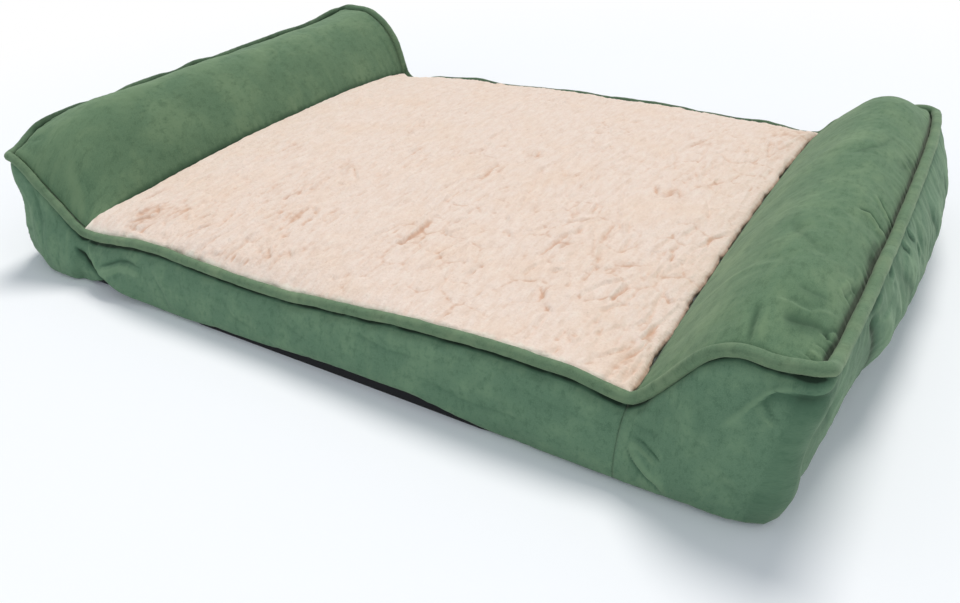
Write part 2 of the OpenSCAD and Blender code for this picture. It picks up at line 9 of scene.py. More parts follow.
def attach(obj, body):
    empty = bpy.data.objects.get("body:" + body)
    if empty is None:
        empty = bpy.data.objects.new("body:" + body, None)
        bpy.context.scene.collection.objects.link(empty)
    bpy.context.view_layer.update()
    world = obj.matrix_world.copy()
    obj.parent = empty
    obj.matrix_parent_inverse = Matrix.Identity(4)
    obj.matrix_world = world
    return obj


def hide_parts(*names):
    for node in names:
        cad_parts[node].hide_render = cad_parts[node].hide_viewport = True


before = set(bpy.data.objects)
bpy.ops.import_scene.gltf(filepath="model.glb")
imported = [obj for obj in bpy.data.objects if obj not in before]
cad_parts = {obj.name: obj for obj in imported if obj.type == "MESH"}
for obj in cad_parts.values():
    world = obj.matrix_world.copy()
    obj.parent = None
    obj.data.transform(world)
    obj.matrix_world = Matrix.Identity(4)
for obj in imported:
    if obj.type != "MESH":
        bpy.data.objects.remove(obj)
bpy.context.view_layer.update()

# Lengths are millimetres, and MM makes them metres where a mesh or light is placed
MM = 0.001

# Plan of the bed: half sizes of the piping's line, bolster seams and corner radii
HALF_L = 508
HALF_W = 355
SEAM_X = 363
BOLSTER_W = HALF_L - SEAM_X
CORNER_R = 9
LOWER_CORNER_R = 48
FRONT_BOW = 4
BACK_BOW = 1
SIDE_BOW = 5

# Cloths and piping
PIPING_R = 5.7
CORD_R = 3.4
CLOTH_T = 2.4
UNDERSIDE_T = 1.6
FLOOR_T = 2.5
EDGE_GAP = 0.4
HALF_GAP = EDGE_GAP / 2
# How far below the piping's middle the walls are sewn to it
SEAM_DROP = PIPING_R * 0.93

# Bolsters, left then right: crests and their place across, steepness, and swell of the end wall,
# each at the front, halfway and at the back
CREST = [(147, 192.5, 192), (153, 174, 138)]
CREST_SHARE = [(0.95, 0.62, 0.55), (0.56, 0.62, 0.68)]
STEEP = [(1.0, 0.85, 0.9), (1.45, 1.0, 0.9)]
END_BULGE = [(12, 26, 18), (-9, 28, 20)]
END_TURN = (8, 20)
END_BLEND = 0.2

# How the front and back walls lean and swell: at the bolster seams, in the middle, at the corners
SEAM_LEAN = 24
MID_LEAN = 19
CORNER_LEAN = 8
FRONT_RIGHT_LEAN = 25
# How far the lower front right corner is rounded, along x and y, where 1 is as the others
FRONT_RIGHT_ROUND = (0.62, 0.15)
ARCH_BULGE = 8
MID_BULGE = 4
FRONT_TURN = 4
TURN_START = 0.75

# The sleeping surface's crown at the front and back, and how far in it and the tops dip to the piping
BED_CROWN = (10, 6)
BED_DIP_SHARE = 0.12
TOP_DIP_SHARE = 0.1

# The slack corner behind the right bolster: where it starts, and how far it is pushed in
SLACK_Y = 170
SLACK_SHIFT = (8, 3)

# Places worked out along the front or back, an arch, a corner and an end
EDGE_STATIONS = 182
ARCH_STATIONS = 33
CORNER_STATIONS = 8
END_STATIONS = 171

# The zip
ZIP_Z = 36
ZIP_WALL_Y = HALF_W + 21
SLOT_H = 13
# How far above the zip the back wall starts to lean in, and how high its foot turns in
LEAN_START = 16
BACK_TURN_H = 18
COIL_PITCH = 1.7
COIL_WIRE_R = 0.34
COIL_TURN_POINTS = 10
COIL_ROUNDNESS = 1
# How far each coil reaches past the zip's middle, so that the two mesh
COIL_MESH = 0.3


# Curves and noise

def through(*points):
    """A smooth curve through (place, value) points that overshoots none of them."""
    x, y = np.array(points, float).T
    step = np.diff(x)
    slope = np.diff(y) / step
    bend = np.zeros(len(x))
    same = slope[1:] * slope[:-1] > 0
    bend[1:-1][same] = 2 * slope[1:][same] * slope[:-1][same] / (slope[1:] + slope[:-1])[same]
    bend[0] = slope[0]
    bend[-1] = slope[-1]

    def read(at):
        at = np.clip(at, x[0], x[-1])
        i = np.clip(np.searchsorted(x, at) - 1, 0, len(x) - 2)
        t = (at - x[i]) / step[i]
        return (
            y[i] * (1 + 2 * t) * (1 - t) ** 2
            + step[i] * bend[i] * t * (1 - t) ** 2
            + y[i + 1] * t * t * (3 - 2 * t)
            + step[i] * bend[i + 1] * t * t * (t - 1)
        )

    return read


def mix(a, b, t):
    return a + (b - a) * t


def swell(t, power=2):
    """Nothing at 0 and 1, and one halfway."""
    return 1 - np.abs(2 * t - 1) ** power


def smooth_step(t):
    t = np.clip(t, 0, 1)
    return t * t * (3 - 2 * t)


def near_ends(v, share):
    """Shares that are one at the front and at the back, and die out over a share of the depth."""
    return np.clip(1 - v / share, 0, 1) ** 2, np.clip(1 - (1 - v) / share, 0, 1) ** 2


def ends(values, v):
    """Front, middle and back values blended over the bed's depth."""
    front, middle, back = values
    near, far = near_ends(v, END_BLEND)
    return middle + (front - middle) * near + (back - middle) * far


def hump(distance, width):
    """A bell that is one at no distance."""
    return np.exp(-((distance / width) ** 2))


def lumps(x, y, size_x, size_y, seed):
    """Smooth noise between about -1 and 1 over places on a cloth."""
    spots = zip(np.ravel(x / size_x).tolist(), np.ravel(y / size_y).tolist())
    values = np.fromiter((noise.noise((a, b, seed)) for a, b in spots), float, np.size(x))
    return values.reshape(np.shape(x)) * 1.6


# The net of cells: how many draws it repeats after, and a row's height as a share of a cell's width
CELL_DRAWS = 61
CELL_ROW_SHARE = 0.87


def cell_edges(x, y, size, seed):
    """Distance from each place to the nearest edge of a net of irregular cells, and a value per cell."""
    table = np.random.default_rng(seed).random((CELL_DRAWS, CELL_DRAWS, 3))
    row = size * CELL_ROW_SHARE
    near = np.full(x.shape, 1e9)
    next_near = np.full(x.shape, 1e9)
    near_at = np.zeros(x.shape + (2,))
    next_at = np.zeros(x.shape + (2,))
    tone = np.zeros(x.shape)
    for dj in (-2, -1, 0, 1, 2):
        j = np.floor(y / row).astype(int) + dj
        for di in (-2, -1, 0, 1, 2):
            i = np.floor(x / size).astype(int) + di
            draw = table[i % CELL_DRAWS, j % CELL_DRAWS]
            at = np.stack([
                (i + 0.5 * (j % 2) + 0.5 + 0.5 * (draw[..., 0] - 0.5)) * size,
                (j + 0.5 + 0.5 * (draw[..., 1] - 0.5)) * row,
            ], -1)
            gap = np.hypot(at[..., 0] - x, at[..., 1] - y)
            first = gap < near
            second = ~first & (gap < next_near)
            next_near = np.where(first, near, np.where(second, gap, next_near))
            next_at = np.where(first[..., None], near_at, np.where(second[..., None], at, next_at))
            near = np.where(first, gap, near)
            near_at = np.where(first[..., None], at, near_at)
            tone = np.where(first, draw[..., 2], tone)
    span = np.maximum(1e-6, np.hypot(*np.moveaxis(next_at - near_at, -1, 0)))
    return (next_near ** 2 - near ** 2) / (2 * span), tone


def to_line(x, y, points):
    """From places on a cloth to a line of points: distance, signed distance, and share along it."""
    best = np.full(np.shape(x), 1e9)
    side = np.zeros(np.shape(x))
    along = np.zeros(np.shape(x))
    count = len(points) - 1
    for k in range(count):
        (ax, ay), (bx, by) = points[k], points[k + 1]
        run = math.hypot(bx - ax, by - ay)
        ux, uy = (bx - ax) / run, (by - ay) / run
        t = np.clip((x - ax) * ux + (y - ay) * uy, 0, run)
        gap = np.hypot(x - ax - t * ux, y - ay - t * uy)
        closer = gap < best
        best = np.where(closer, gap, best)
        side = np.where(closer, ux * (y - ay) - uy * (x - ax), side)
        along = np.where(closer, (k + t / run) / count, along)
    return best, side, along


def crease(x, y, points, width, depth, lip=0.5):
    """A fold pressed sharply into a cloth along a line of points, with a soft ridge on its left."""
    best, side, along = to_line(x, y, points)
    fade = np.clip(swell(along, 4), 0, 1) * 0.85 + 0.15
    ridge = hump(side - 2.4 * width, 1.8 * width) * hump(np.maximum(best - np.abs(side), 0), 3 * width)
    return depth * fade * (lip * ridge - np.exp(-best / width))


def fold_over(x, y, points, reach, depth, lip):
    """Cloth that hangs over itself: a ridge on the left of a line, dropping sharply on its right."""
    best, side, along = to_line(x, y, points)
    beyond = hump(np.maximum(best - np.abs(side), 0), 5)
    drop = smooth_step(0.5 - side / 2.4) * np.exp(np.minimum(side, 0) / reach)
    fade = np.clip(swell(along, 4), 0, 1) * 0.9 + 0.1
    return depth * fade * beyond * (lip * hump(side - 2.0, 2.6) - drop)


def puckers(along, inward, wave, depth, reach, seed):
    """Gathers at right angles to a seam, unevenly spaced, that die out away from it."""
    slant = along + 0.35 * inward * lumps(along, inward * 0, 60, 1, seed + 4)
    gather = np.abs(lumps(slant, inward * 0, wave, 1, seed)) * 2 - 0.6
    long = reach * (0.7 + 0.9 * np.abs(lumps(along, inward * 0, wave * 2.3, 1, seed + 9)))
    return depth * gather * np.exp(-inward / long)


# Shares over the bed

def length_share(x):
    """From 0 at the left bolster seam to 1 at the right one."""
    return (x + SEAM_X) / (2 * SEAM_X)


def between_seams(x):
    """Nothing at the bolster seams and past them, and one halfway between."""
    return np.clip(swell(length_share(x)), 0, 1)


def depth_share(y):
    """From 0 at the front to 1 at the back."""
    return (y + HALF_W) / (2 * HALF_W)


def share_down(rim, z):
    """From 0 at the piping to 1 at the floor cloth."""
    return np.clip((rim - z) / (rim - FLOOR_T), 0, 1)


def turned_under(w):
    """How far a wall has turned in towards its foot, by its share down."""
    return np.clip((w - TURN_START) / (1 - TURN_START), 0, 1) ** 2


# Heights of the piping: along the front and back by x, along the ends by y
FRONT_RIM = through(
    (-508, 147), (-496, 146), (-480, 139), (-449, 114), (-417, 90), (-394, 72), (-376, 64),
    (-355, 63), (-320, 67), (-270, 74), (-220, 76), (-151, 72), (-90, 71), (-40, 71), (25, 76),
    (80, 80), (130, 85), (223, 88), (306, 86), (345, 79), (363, 77), (375, 85), (391, 103),
    (406, 123), (420, 140), (434, 149), (449, 153), (478, 152), (494, 154), (508, 157),
)
BACK_RIM = through(
    (-508, 190), (-481, 197), (-444, 195), (-417, 184), (-396, 166), (-380, 141), (-371, 114),
    (-363, 88), (-349, 77), (-331, 76), (-287, 84), (-244, 87), (-202, 90), (-161, 86), (-122, 87),
    (-84, 89), (-10, 90), (60, 89), (126, 89), (158, 88), (190, 84), (220, 84), (251, 82), (280, 83),
    (309, 80), (337, 76), (363, 78), (386, 100), (408, 112), (431, 119), (453, 126), (479, 131), (495, 133),
    (508, 131),
)
LEFT_RIM = through(
    (-355, 145), (-338, 149), (-318, 161), (-300, 169), (-266, 174), (-234, 175), (-201, 173),
    (-166, 173), (-128, 177), (-90, 177), (-50, 176), (-8, 180), (35, 177), (81, 178), (129, 179),
    (179, 181), (232, 181), (288, 184), (346, 190), (355, 190),
)
RIGHT_RIM = through(
    (-355, 157), (-338, 150), (-310, 145), (-260, 143), (-213, 141), (-125, 143), (-105, 139), (-60, 141),
    (213, 141), (290, 139), (355, 131),
)
# Heights of the bolster seams by y
LEFT_SEAM = through(
    (-355, 66), (-335, 76), (-300, 83), (-234, 88), (-157, 94), (-60, 98), (60, 100),
    (170, 100), (260, 96), (330, 91), (355, 87),
)
RIGHT_SEAM = through(
    (-355, 74), (-320, 78), (-240, 86), (-104, 95), (50, 99), (180, 98), (270, 92),
    (330, 86), (355, 83),
)


def plan_shift(x, y):
    """How far the plan is pushed in at the slack corner behind the right bolster."""
    back = np.clip((y - SLACK_Y) / (HALF_W - SLACK_Y), 0, 1) ** 2
    share = np.clip((x - SEAM_X) / BOLSTER_W, 0, 1) * back
    return -SLACK_SHIFT[0] * share, -SLACK_SHIFT[1] * share


def front_y(x):
    return -HALF_W - FRONT_BOW * between_seams(x)


def back_y(x):
    return HALF_W + BACK_BOW * between_seams(x)


def seam_height(side, y):
    return (LEFT_SEAM, RIGHT_SEAM)[side](y)


def bed_height(x, y):
    """The sleeping surface: between the seams, and dipping to the front and back piping."""
    a = length_share(x)
    v = depth_share(y)
    level = mix(LEFT_SEAM(y), RIGHT_SEAM(y), a)
    front = FRONT_RIM(x) - mix(LEFT_SEAM(-HALF_W), RIGHT_SEAM(-HALF_W), a)
    back = BACK_RIM(x) - mix(LEFT_SEAM(HALF_W), RIGHT_SEAM(HALF_W), a)
    crown = mix(*BED_CROWN, v) * swell(a)
    near, far = near_ends(v, BED_DIP_SHARE)
    return level + crown + near * (front - crown) + far * (back - crown)


def rim_height(side, y):
    return (LEFT_RIM, RIGHT_RIM)[side](y)


def bolster_height(side, x, y):
    """A bolster's top: x runs outwards from its seam."""
    sign = (-1, 1)[side]
    t = np.clip((x - SEAM_X) / BOLSTER_W, 0, 1)

    def profile(y):
        v = np.clip(depth_share(y), 0, 1)
        crest = ends(CREST[side], v)
        full = ends(CREST_SHARE[side], v)
        steep = ends(STEEP[side], v)
        seam = seam_height(side, y)
        rise = seam + (crest - seam) * np.sin(np.pi / 2 * np.minimum(t / full, 1)) ** steep
        fall = crest + (rim_height(side, y) - crest) * (np.maximum(t - full, 0) / (1 - full)) ** 2
        return np.where(t < full, rise, fall)

    v = depth_share(y)
    front = FRONT_RIM(sign * x) - profile(np.full(np.shape(x), -float(HALF_W)))
    back = BACK_RIM(sign * x) - profile(np.full(np.shape(x), float(HALF_W)))
    near, far = near_ends(v, TOP_DIP_SHARE)
    return profile(y) + near * front + far * back


def end_bulge(side, v):
    """How far an end wall swells, over the bed's depth."""
    front, middle, back = END_BULGE[side]
    return front * (1 - v) * (1 - 2 * v) + middle * 4 * v * (1 - v) + back * v * (2 * v - 1)


def end_wall(side, y, z):
    """How far out an end wall lies at y and height z."""
    v = np.clip(depth_share(y), 0, 1)
    rim = rim_height(side, y)
    w = share_down(rim, z)
    turned = END_TURN[side] * turned_under(w)
    return HALF_L + SIDE_BOW * swell(v) + end_bulge(side, v) * np.sin(np.pi * w) - turned


# The piping's line, counter-clockwise from the front left seam

def rim_stations():
    """Arrays along the piping: place, outward normal, way in of the lower corner, lean, bulge, turn."""
    rows = []

    def add(x, y, z, nx, ny, in_x, in_y, lean, bulge, turn):
        parts = np.broadcast_arrays(x, y, z, nx, ny, in_x, in_y, lean, bulge, turn)
        rows.append(np.stack(parts, -1).astype(float))

    def roundness(sx, sy, tight):
        return np.where((sx > 0) & (np.asarray(sy) < 0), tight, 1.0)

    def corner_lean(sx, sy):
        return FRONT_RIGHT_LEAN if sx > 0 > sy else CORNER_LEAN

    def long_edge(sy, rim, edge):
        x = np.linspace(-SEAM_X, SEAM_X, EDGE_STATIONS)
        s = swell(length_share(x))
        add(x, edge(x), rim(x), 0, sy, 0, 0, mix(SEAM_LEAN, MID_LEAN, s),
            mix(ARCH_BULGE, MID_BULGE, s), FRONT_TURN)

    def arch(sx, sy, rim):
        x = np.linspace(SEAM_X + 4, HALF_L - CORNER_R, ARCH_STATIONS)
        t = (x - SEAM_X) / (HALF_L - CORNER_R - SEAM_X)
        in_x = -sx * roundness(sx, sy, FRONT_RIGHT_ROUND[0]) * t ** 2
        add(sx * x, sy * HALF_W, rim(sx * x), 0, sy, in_x, 0,
            mix(SEAM_LEAN, corner_lean(sx, sy), t ** 4), ARCH_BULGE, FRONT_TURN)

    def corner(sx, sy, rim):
        side = int(sx > 0)
        turn = np.radians(np.linspace(10, 80, CORNER_STATIONS))
        n = np.sin(turn)
        m = np.cos(turn)
        x = sx * (HALF_L - CORNER_R + CORNER_R * n)
        y = sy * (HALF_W - CORNER_R + CORNER_R * m)
        z = mix(rim(x), rim_height(side, y), n * n)
        bulge = END_BULGE[side][0 if sy < 0 else 2]
        in_x = roundness(sx, sy, FRONT_RIGHT_ROUND[0]) * sx * (n - 1)
        in_y = roundness(sx, sy, FRONT_RIGHT_ROUND[1]) * sy * (m - 1)
        add(x, y, z, sx * n, sy * m, in_x, in_y, corner_lean(sx, sy) * m * m,
            mix(ARCH_BULGE, bulge, n * n), mix(FRONT_TURN, END_TURN[side], n * n))

    def end(sx):
        side = int(sx > 0)
        y = np.linspace(-HALF_W + CORNER_R, HALF_W - CORNER_R, END_STATIONS)
        v = depth_share(y)
        rounded = roundness(sx, np.sign(y), FRONT_RIGHT_ROUND[1])
        inward = -np.sign(y) * np.abs(y / (HALF_W - CORNER_R)) ** 4 * rounded
        add(sx * (HALF_L + SIDE_BOW * swell(v)), y, rim_height(side, y), sx, 0, 0, inward, 0,
            end_bulge(side, v), END_TURN[side])

    def turned_back():
        rows[-1] = rows[-1][::-1]

    long_edge(-1, FRONT_RIM, front_y)
    arch(1, -1, FRONT_RIM)
    corner(1, -1, FRONT_RIM)
    end(1)
    corner(1, 1, BACK_RIM)
    turned_back()
    arch(1, 1, BACK_RIM)
    turned_back()
    long_edge(1, BACK_RIM, back_y)
    turned_back()
    arch(-1, 1, BACK_RIM)
    corner(-1, 1, BACK_RIM)
    end(-1)
    turned_back()
    corner(-1, -1, FRONT_RIM)
    turned_back()
    arch(-1, -1, FRONT_RIM)
    turned_back()
    return np.concatenate(rows)


STATIONS = rim_stations()
RIM_SHIFT = plan_shift(STATIONS[:, 0], STATIONS[:, 1])
STATIONS[:, 0] += RIM_SHIFT[0]
STATIONS[:, 1] += RIM_SHIFT[1]
STATIONS[:, 2] += 0.7 * lumps(STATIONS[:, 0], STATIONS[:, 1], 30, 30, 2.5)
STATION_LINE = np.concatenate([STATIONS, STATIONS[:1]])
RIM_S = np.concatenate([[0], np.cumsum(np.linalg.norm(np.diff(STATION_LINE[:, :3], axis=0), axis=1))])
RIM_LENGTH = RIM_S[-1]


def rim_at(s):
    """The piping's arrays at distances s along it."""
    s = np.mod(s, RIM_LENGTH)
    return [np.interp(s, RIM_S, STATION_LINE[:, k]) for k in range(STATION_LINE.shape[1])]


def rim_mark(x, y):
    """How far along the piping a corner of the plan lies."""
    return RIM_S[np.argmin(np.hypot(STATIONS[:, 0] - x, STATIONS[:, 1] - y))]


FRONT_RIGHT = rim_mark(SEAM_X, -HALF_W)
BACK_RIGHT = rim_mark(SEAM_X, HALF_W)
BACK_LEFT = rim_mark(-SEAM_X, HALF_W)


# Meshes

def corners(mesh):
    """The places of a mesh's corners in metres, one row each."""
    flat = np.empty(len(mesh.vertices) * 3)
    mesh.vertices.foreach_get("co", flat)
    return flat.reshape(-1, 3)


def place_corners(mesh, places):
    """Puts a mesh's corners at places in millimetres."""
    mesh.vertices.foreach_set("co", (places * MM).ravel())


def mark_cloth(mesh, shade_and_tint, cloth):
    """Stores each corner's painted shade and tint, lighter where folds raise it and darker where they press
    it or shade falls, and its place on the cloth in millimetres.
    """
    shade_and_tint_layer = mesh.attributes.new("shade_and_tint", "FLOAT", "POINT")
    shade_and_tint_layer.data.foreach_set("value", shade_and_tint.astype(np.float32))
    cloth_layer = mesh.attributes.new("cloth", "FLOAT_VECTOR", "POINT")
    spread = np.stack([cloth[0], cloth[1], np.zeros(len(shade_and_tint))], -1) * MM
    cloth_layer.data.foreach_set("vector", spread.astype(np.float32).ravel())


def sheet_mesh(name, across, up):
    """A plain grid, and how far each corner lies across and up it, from 0 to 1."""
    mesh = bpy.data.meshes.new(name)
    bm = bmesh.new()
    bmesh.ops.create_grid(bm, x_segments=across, y_segments=up, size=0.5)
    bm.to_mesh(mesh)
    bm.free()
    u, v = corners(mesh)[:, :2].T + 0.5
    return mesh, u, v


def grid_piece(name, across, up, shape):
    """A cloth from a plain grid whose corners go where shape says.

    shape takes u and v from 0 to 1 and returns the places in millimetres, the painted shade and tint of each,
    and the place on the cloth in millimetres.
    """
    mesh, u, v = sheet_mesh(name, across, up)
    places, shade_and_tint, cloth = shape(u, v)
    place_corners(mesh, np.stack(places, -1))
    mark_cloth(mesh, shade_and_tint, cloth)
    return whole(name, mesh)


def whole(name, mesh):
    """A smooth-shaded object in the scene."""
    mesh.shade_smooth()
    piece = bpy.data.objects.new(name, mesh)
    bpy.context.scene.collection.objects.link(piece)
    return piece


def thicken(piece, thickness):
    solid = piece.modifiers.new("thickness", "SOLIDIFY")
    solid.thickness = thickness * MM
    solid.offset = -1
    solid.use_even_offset = False


def finish(piece, material, body, replaced):
    """Gives a piece its material and body, and hides the imported parts that it stands for."""
    piece.data.materials.append(material)
    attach(piece, body)
    if replaced:
        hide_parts(*replaced)


# Shader helpers

def srgb(red, green, blue):
    """A colour as seen on a screen, from 0 to 255, in the linear values that Blender uses."""
    return tuple(
        c / 12.92 if c <= 0.04045 else ((c + 0.055) / 1.055) ** 2.4
        for c in (red / 255, green / 255, blue / 255)
    ) + (1.0,)


def feed(tree, made, inputs):
    """Sets a node's inputs to values, or links them to sockets."""
    for key, value in inputs.items():
        if isinstance(value, bpy.types.NodeSocket):
            tree.links.new(value, made.inputs[key])
        else:
            made.inputs[key].default_value = value


def node(tree, kind, inputs=None, **settings):
    """A shader node with its settings and inputs."""
    made = tree.nodes.new("ShaderNode" + kind)
    for key, value in settings.items():
        setattr(made, key, value)
    feed(tree, made, inputs or {})
    return made


def blend_colour(tree, share, a, b):
    made = tree.nodes.new("ShaderNodeMix")
    made.data_type = "RGBA"
    feed(tree, made, {0: share, 6: a, 7: b})
    return made.outputs[2]


def noise_value(tree, vector, scale, detail=2.0, roughness=0.5):
    return node(tree, "TexNoise", {
        "Vector": vector, "Scale": scale, "Detail": detail, "Roughness": roughness,
    }).outputs["Fac"]


def stretched(tree, vector, scale):
    return node(tree, "Mapping", {"Vector": vector, "Scale": scale}).outputs["Vector"]


def ramp(tree, value, low, high, to_low=0.0, to_high=1.0):
    return node(tree, "MapRange", {
        "Value": value, "From Min": low, "From Max": high, "To Min": to_low, "To Max": to_high,
    }, interpolation_type="SMOOTHSTEP").outputs["Result"]


def tinted(tree, value, low, high, share, colour, tint):
    """A colour that turns towards a tint, by up to a share, as a value goes from low to high."""
    return blend_colour(tree, ramp(tree, value, low, high, 0.0, share), colour, tint)


def maths(tree, operation, a, b=0.0):
    made = node(tree, "Math", {0: a, 1: b}, operation=operation)
    return made.outputs[0]


def new_group(name, inputs, outputs):
    """An empty shader group with named sockets, as (group, its input node, its output node)."""
    group = bpy.data.node_groups.new(name, "ShaderNodeTree")
    for label, kind, value in inputs:
        socket = group.interface.new_socket(label, in_out="INPUT", socket_type="NodeSocket" + kind)
        if value is not None:
            socket.default_value = value
    for label, kind in outputs:
        group.interface.new_socket(label, in_out="OUTPUT", socket_type="NodeSocket" + kind)
    return group, group.nodes.new("NodeGroupInput").outputs, group.nodes.new("NodeGroupOutput").inputs


def use_group(tree, group, inputs):
    made = tree.nodes.new("ShaderNodeGroup")
    made.node_tree = group
    feed(tree, made, inputs)
    return made.outputs


def new_material(name, roughness=0.9, **constants):
    """A material with a Principled shader, its fixed values set on its own sockets."""
    material = bpy.data.materials.new(name)
    material.use_nodes = True
    shader = material.node_tree.nodes["Principled BSDF"]
    shader.inputs["Roughness"].default_value = roughness
    for key, value in constants.items():
        shader.inputs[key.replace("_", " ").title().replace("Ior", "IOR")].default_value = value
    return material, material.node_tree, shader


def bump(tree, height, strength, distance):
    return node(tree, "Bump", {
        "Height": height, "Strength": strength, "Distance": distance,
    }).outputs["Normal"]


def place_on(tree, name):
    """The piece's own coordinates: its cloth places, or its object's places."""
    if name == "object":
        return node(tree, "TexCoord").outputs["Object"]
    return node(tree, "Attribute", attribute_name=name).outputs["Vector"]


# Shared effects

def brushed_group():
    """Suede-like cloth: soft patches, brush strokes and nap, with painted highlight on folds and painted
    shade in them and in seams.
    """
    group, given, out = new_group("brushed_nap", [
        ("Vector", "Vector", None), ("Shade_and_tint", "Float", 0.0),
        ("Colour", "Color", None), ("Worn_and_lit", "Color", None), ("Deep", "Color", None),
    ], [("Color", "Color"), ("Height", "Float"), ("Roughness", "Float")])
    patches = noise_value(group, given["Vector"], 24.0, 3.0, 0.6)
    strokes = noise_value(group, stretched(group, given["Vector"], (130.0, 105.0, 110.0)), 1.0, 3.0, 0.65)
    nap = noise_value(group, given["Vector"], 900.0, 2.0, 0.6)
    speck = noise_value(group, given["Vector"], 330.0, 2.0, 0.65)
    colour = tinted(group, patches, 0.42, 0.68, 0.6, given["Colour"], given["Worn_and_lit"])
    colour = tinted(group, strokes, 0.46, 0.72, 0.45, colour, given["Deep"])
    colour = tinted(group, nap, 0.35, 0.7, 0.3, colour, given["Worn_and_lit"])
    colour = tinted(group, speck, 0.5, 0.78, 0.28, colour, given["Deep"])
    # Painted highlight on raised folds, painted shade in pressed ones, and near-black painted shade in the
    # deepest creases and under the piping.
    colour = tinted(group, given["Shade_and_tint"], 0.1, 1.2, 0.6, colour, given["Worn_and_lit"])
    colour = tinted(group, given["Shade_and_tint"], -0.15, -1.6, 0.75, colour, given["Deep"])
    colour = tinted(group, given["Shade_and_tint"], -1.3, -3.2, 0.9, colour, srgb(26, 42, 32))
    group.links.new(colour, out["Color"])
    height = maths(group, "ADD", maths(group, "MULTIPLY", nap, 0.5), maths(group, "MULTIPLY", strokes, 0.8))
    group.links.new(height, out["Height"])
    group.links.new(ramp(group, strokes, 0.3, 0.8, 0.82, 0.98), out["Roughness"])
    return group


def weave_group():
    """Plain woven threads: light over, with painted shade between them."""
    group, given, out = new_group("plain_weave", [
        ("Vector", "Vector", None), ("Threads", "Float", 900.0),
        ("Colour", "Color", None), ("Between", "Color", None),
    ], [("Color", "Color"), ("Height", "Float")])
    scaled = node(group, "VectorMath", {0: given["Vector"], "Scale": given["Threads"]}, operation="SCALE")
    split = node(group, "SeparateXYZ", {0: scaled.outputs["Vector"]})
    warp = maths(group, "SINE", split.outputs["X"])
    weft = maths(group, "SINE", split.outputs["Y"])
    over = maths(group, "MULTIPLY", warp, weft)
    height = maths(group, "ADD", maths(group, "MULTIPLY", over, 0.5), 0.5)
    uneven = noise_value(group, given["Vector"], 60.0, 3.0)
    # Painted shade: the gaps between the threads are darkened.
    colour = blend_colour(group, ramp(group, height, 0.1, 0.8), given["Between"], given["Colour"])
    colour = tinted(group, uneven, 0.4, 0.7, 0.25, colour, given["Between"])
    group.links.new(colour, out["Color"])
    group.links.new(height, out["Height"])
    return group


BRUSHED = brushed_group()
WEAVE = weave_group()


# Materials

def brushed_cloth(name, colour, worn_and_lit, deep):
    material, tree, shader = new_material(
        name, sheen_weight=0.35, sheen_roughness=0.45, sheen_tint=srgb(190, 205, 180),
        specular_ior_level=0.15,
    )
    nap = use_group(tree, BRUSHED, {
        "Vector": place_on(tree, "cloth"),
        "Shade_and_tint": node(tree, "Attribute", attribute_name="shade_and_tint").outputs["Fac"],
        "Colour": colour, "Worn_and_lit": worn_and_lit, "Deep": deep,
    })
    tree.links.new(nap["Color"], shader.inputs["Base Color"])
    tree.links.new(nap["Roughness"], shader.inputs["Roughness"])
    tree.links.new(bump(tree, nap["Height"], 0.35, 0.0012), shader.inputs["Normal"])
    return material


def fleece_cloth():
    """Cream plush: pale crowns and a painted highlight on its rolled edge, painted pinkish shade in the
    creases, darker tan patches, fluffy at a millimetre.
    """
    material, tree, shader = new_material(
        "fleece", sheen_weight=0.3, sheen_roughness=0.6, sheen_tint=srgb(255, 244, 232),
        specular_ior_level=0.1,
    )
    cloth = place_on(tree, "cloth")
    shade_and_tint = node(tree, "Attribute", attribute_name="shade_and_tint").outputs["Fac"]
    patches = noise_value(tree, cloth, 11.0, 3.0, 0.6)
    fluff = noise_value(tree, cloth, 420.0, 3.0, 0.7)
    curls = node(tree, "TexVoronoi", {"Vector": cloth, "Scale": 340.0}, feature="F1").outputs["Distance"]
    pink, warm = srgb(242, 224, 212), srgb(241, 217, 198)
    colour = tinted(tree, patches, 0.42, 0.72, 0.6, pink, warm)
    blotches = noise_value(tree, stretched(tree, cloth, (150.0, 42.0, 100.0)), 1.0, 3.0, 0.65)
    colour = tinted(tree, blotches, 0.42, 0.66, 0.5, colour, srgb(230, 204, 186))
    colour = tinted(tree, blotches, 0.44, 0.3, 0.4, colour, srgb(248, 236, 224))
    colour = tinted(tree, fluff, 0.42, 0.75, 0.3, colour, srgb(214, 186, 166))
    # Painted pinkish shade in the creases and sewn lines, darkening the tan patches too, then painted
    # highlight on the rolled edge and raised fluff.
    colour = tinted(tree, shade_and_tint, -0.12, -1.1, 0.85, colour, srgb(212, 172, 146))
    colour = tinted(tree, shade_and_tint, 0.3, 1.4, 0.7, colour, srgb(250, 243, 228))
    tree.links.new(colour, shader.inputs["Base Color"])
    height = maths(tree, "SUBTRACT", maths(tree, "MULTIPLY", fluff, 1.2), maths(tree, "MULTIPLY", curls, 0.8))
    tree.links.new(bump(tree, height, 0.45, 0.0016), shader.inputs["Normal"])
    return material


def woven_cloth(name, colour, between, threads=3200.0):
    material, tree, shader = new_material(name, specular_ior_level=0.2)
    weave = use_group(tree, WEAVE, {
        "Vector": place_on(tree, "object"), "Threads": threads,
        "Colour": colour, "Between": between,
    })
    tree.links.new(weave["Color"], shader.inputs["Base Color"])
    tree.links.new(bump(tree, weave["Height"], 0.4, 0.0004), shader.inputs["Normal"])
    return material


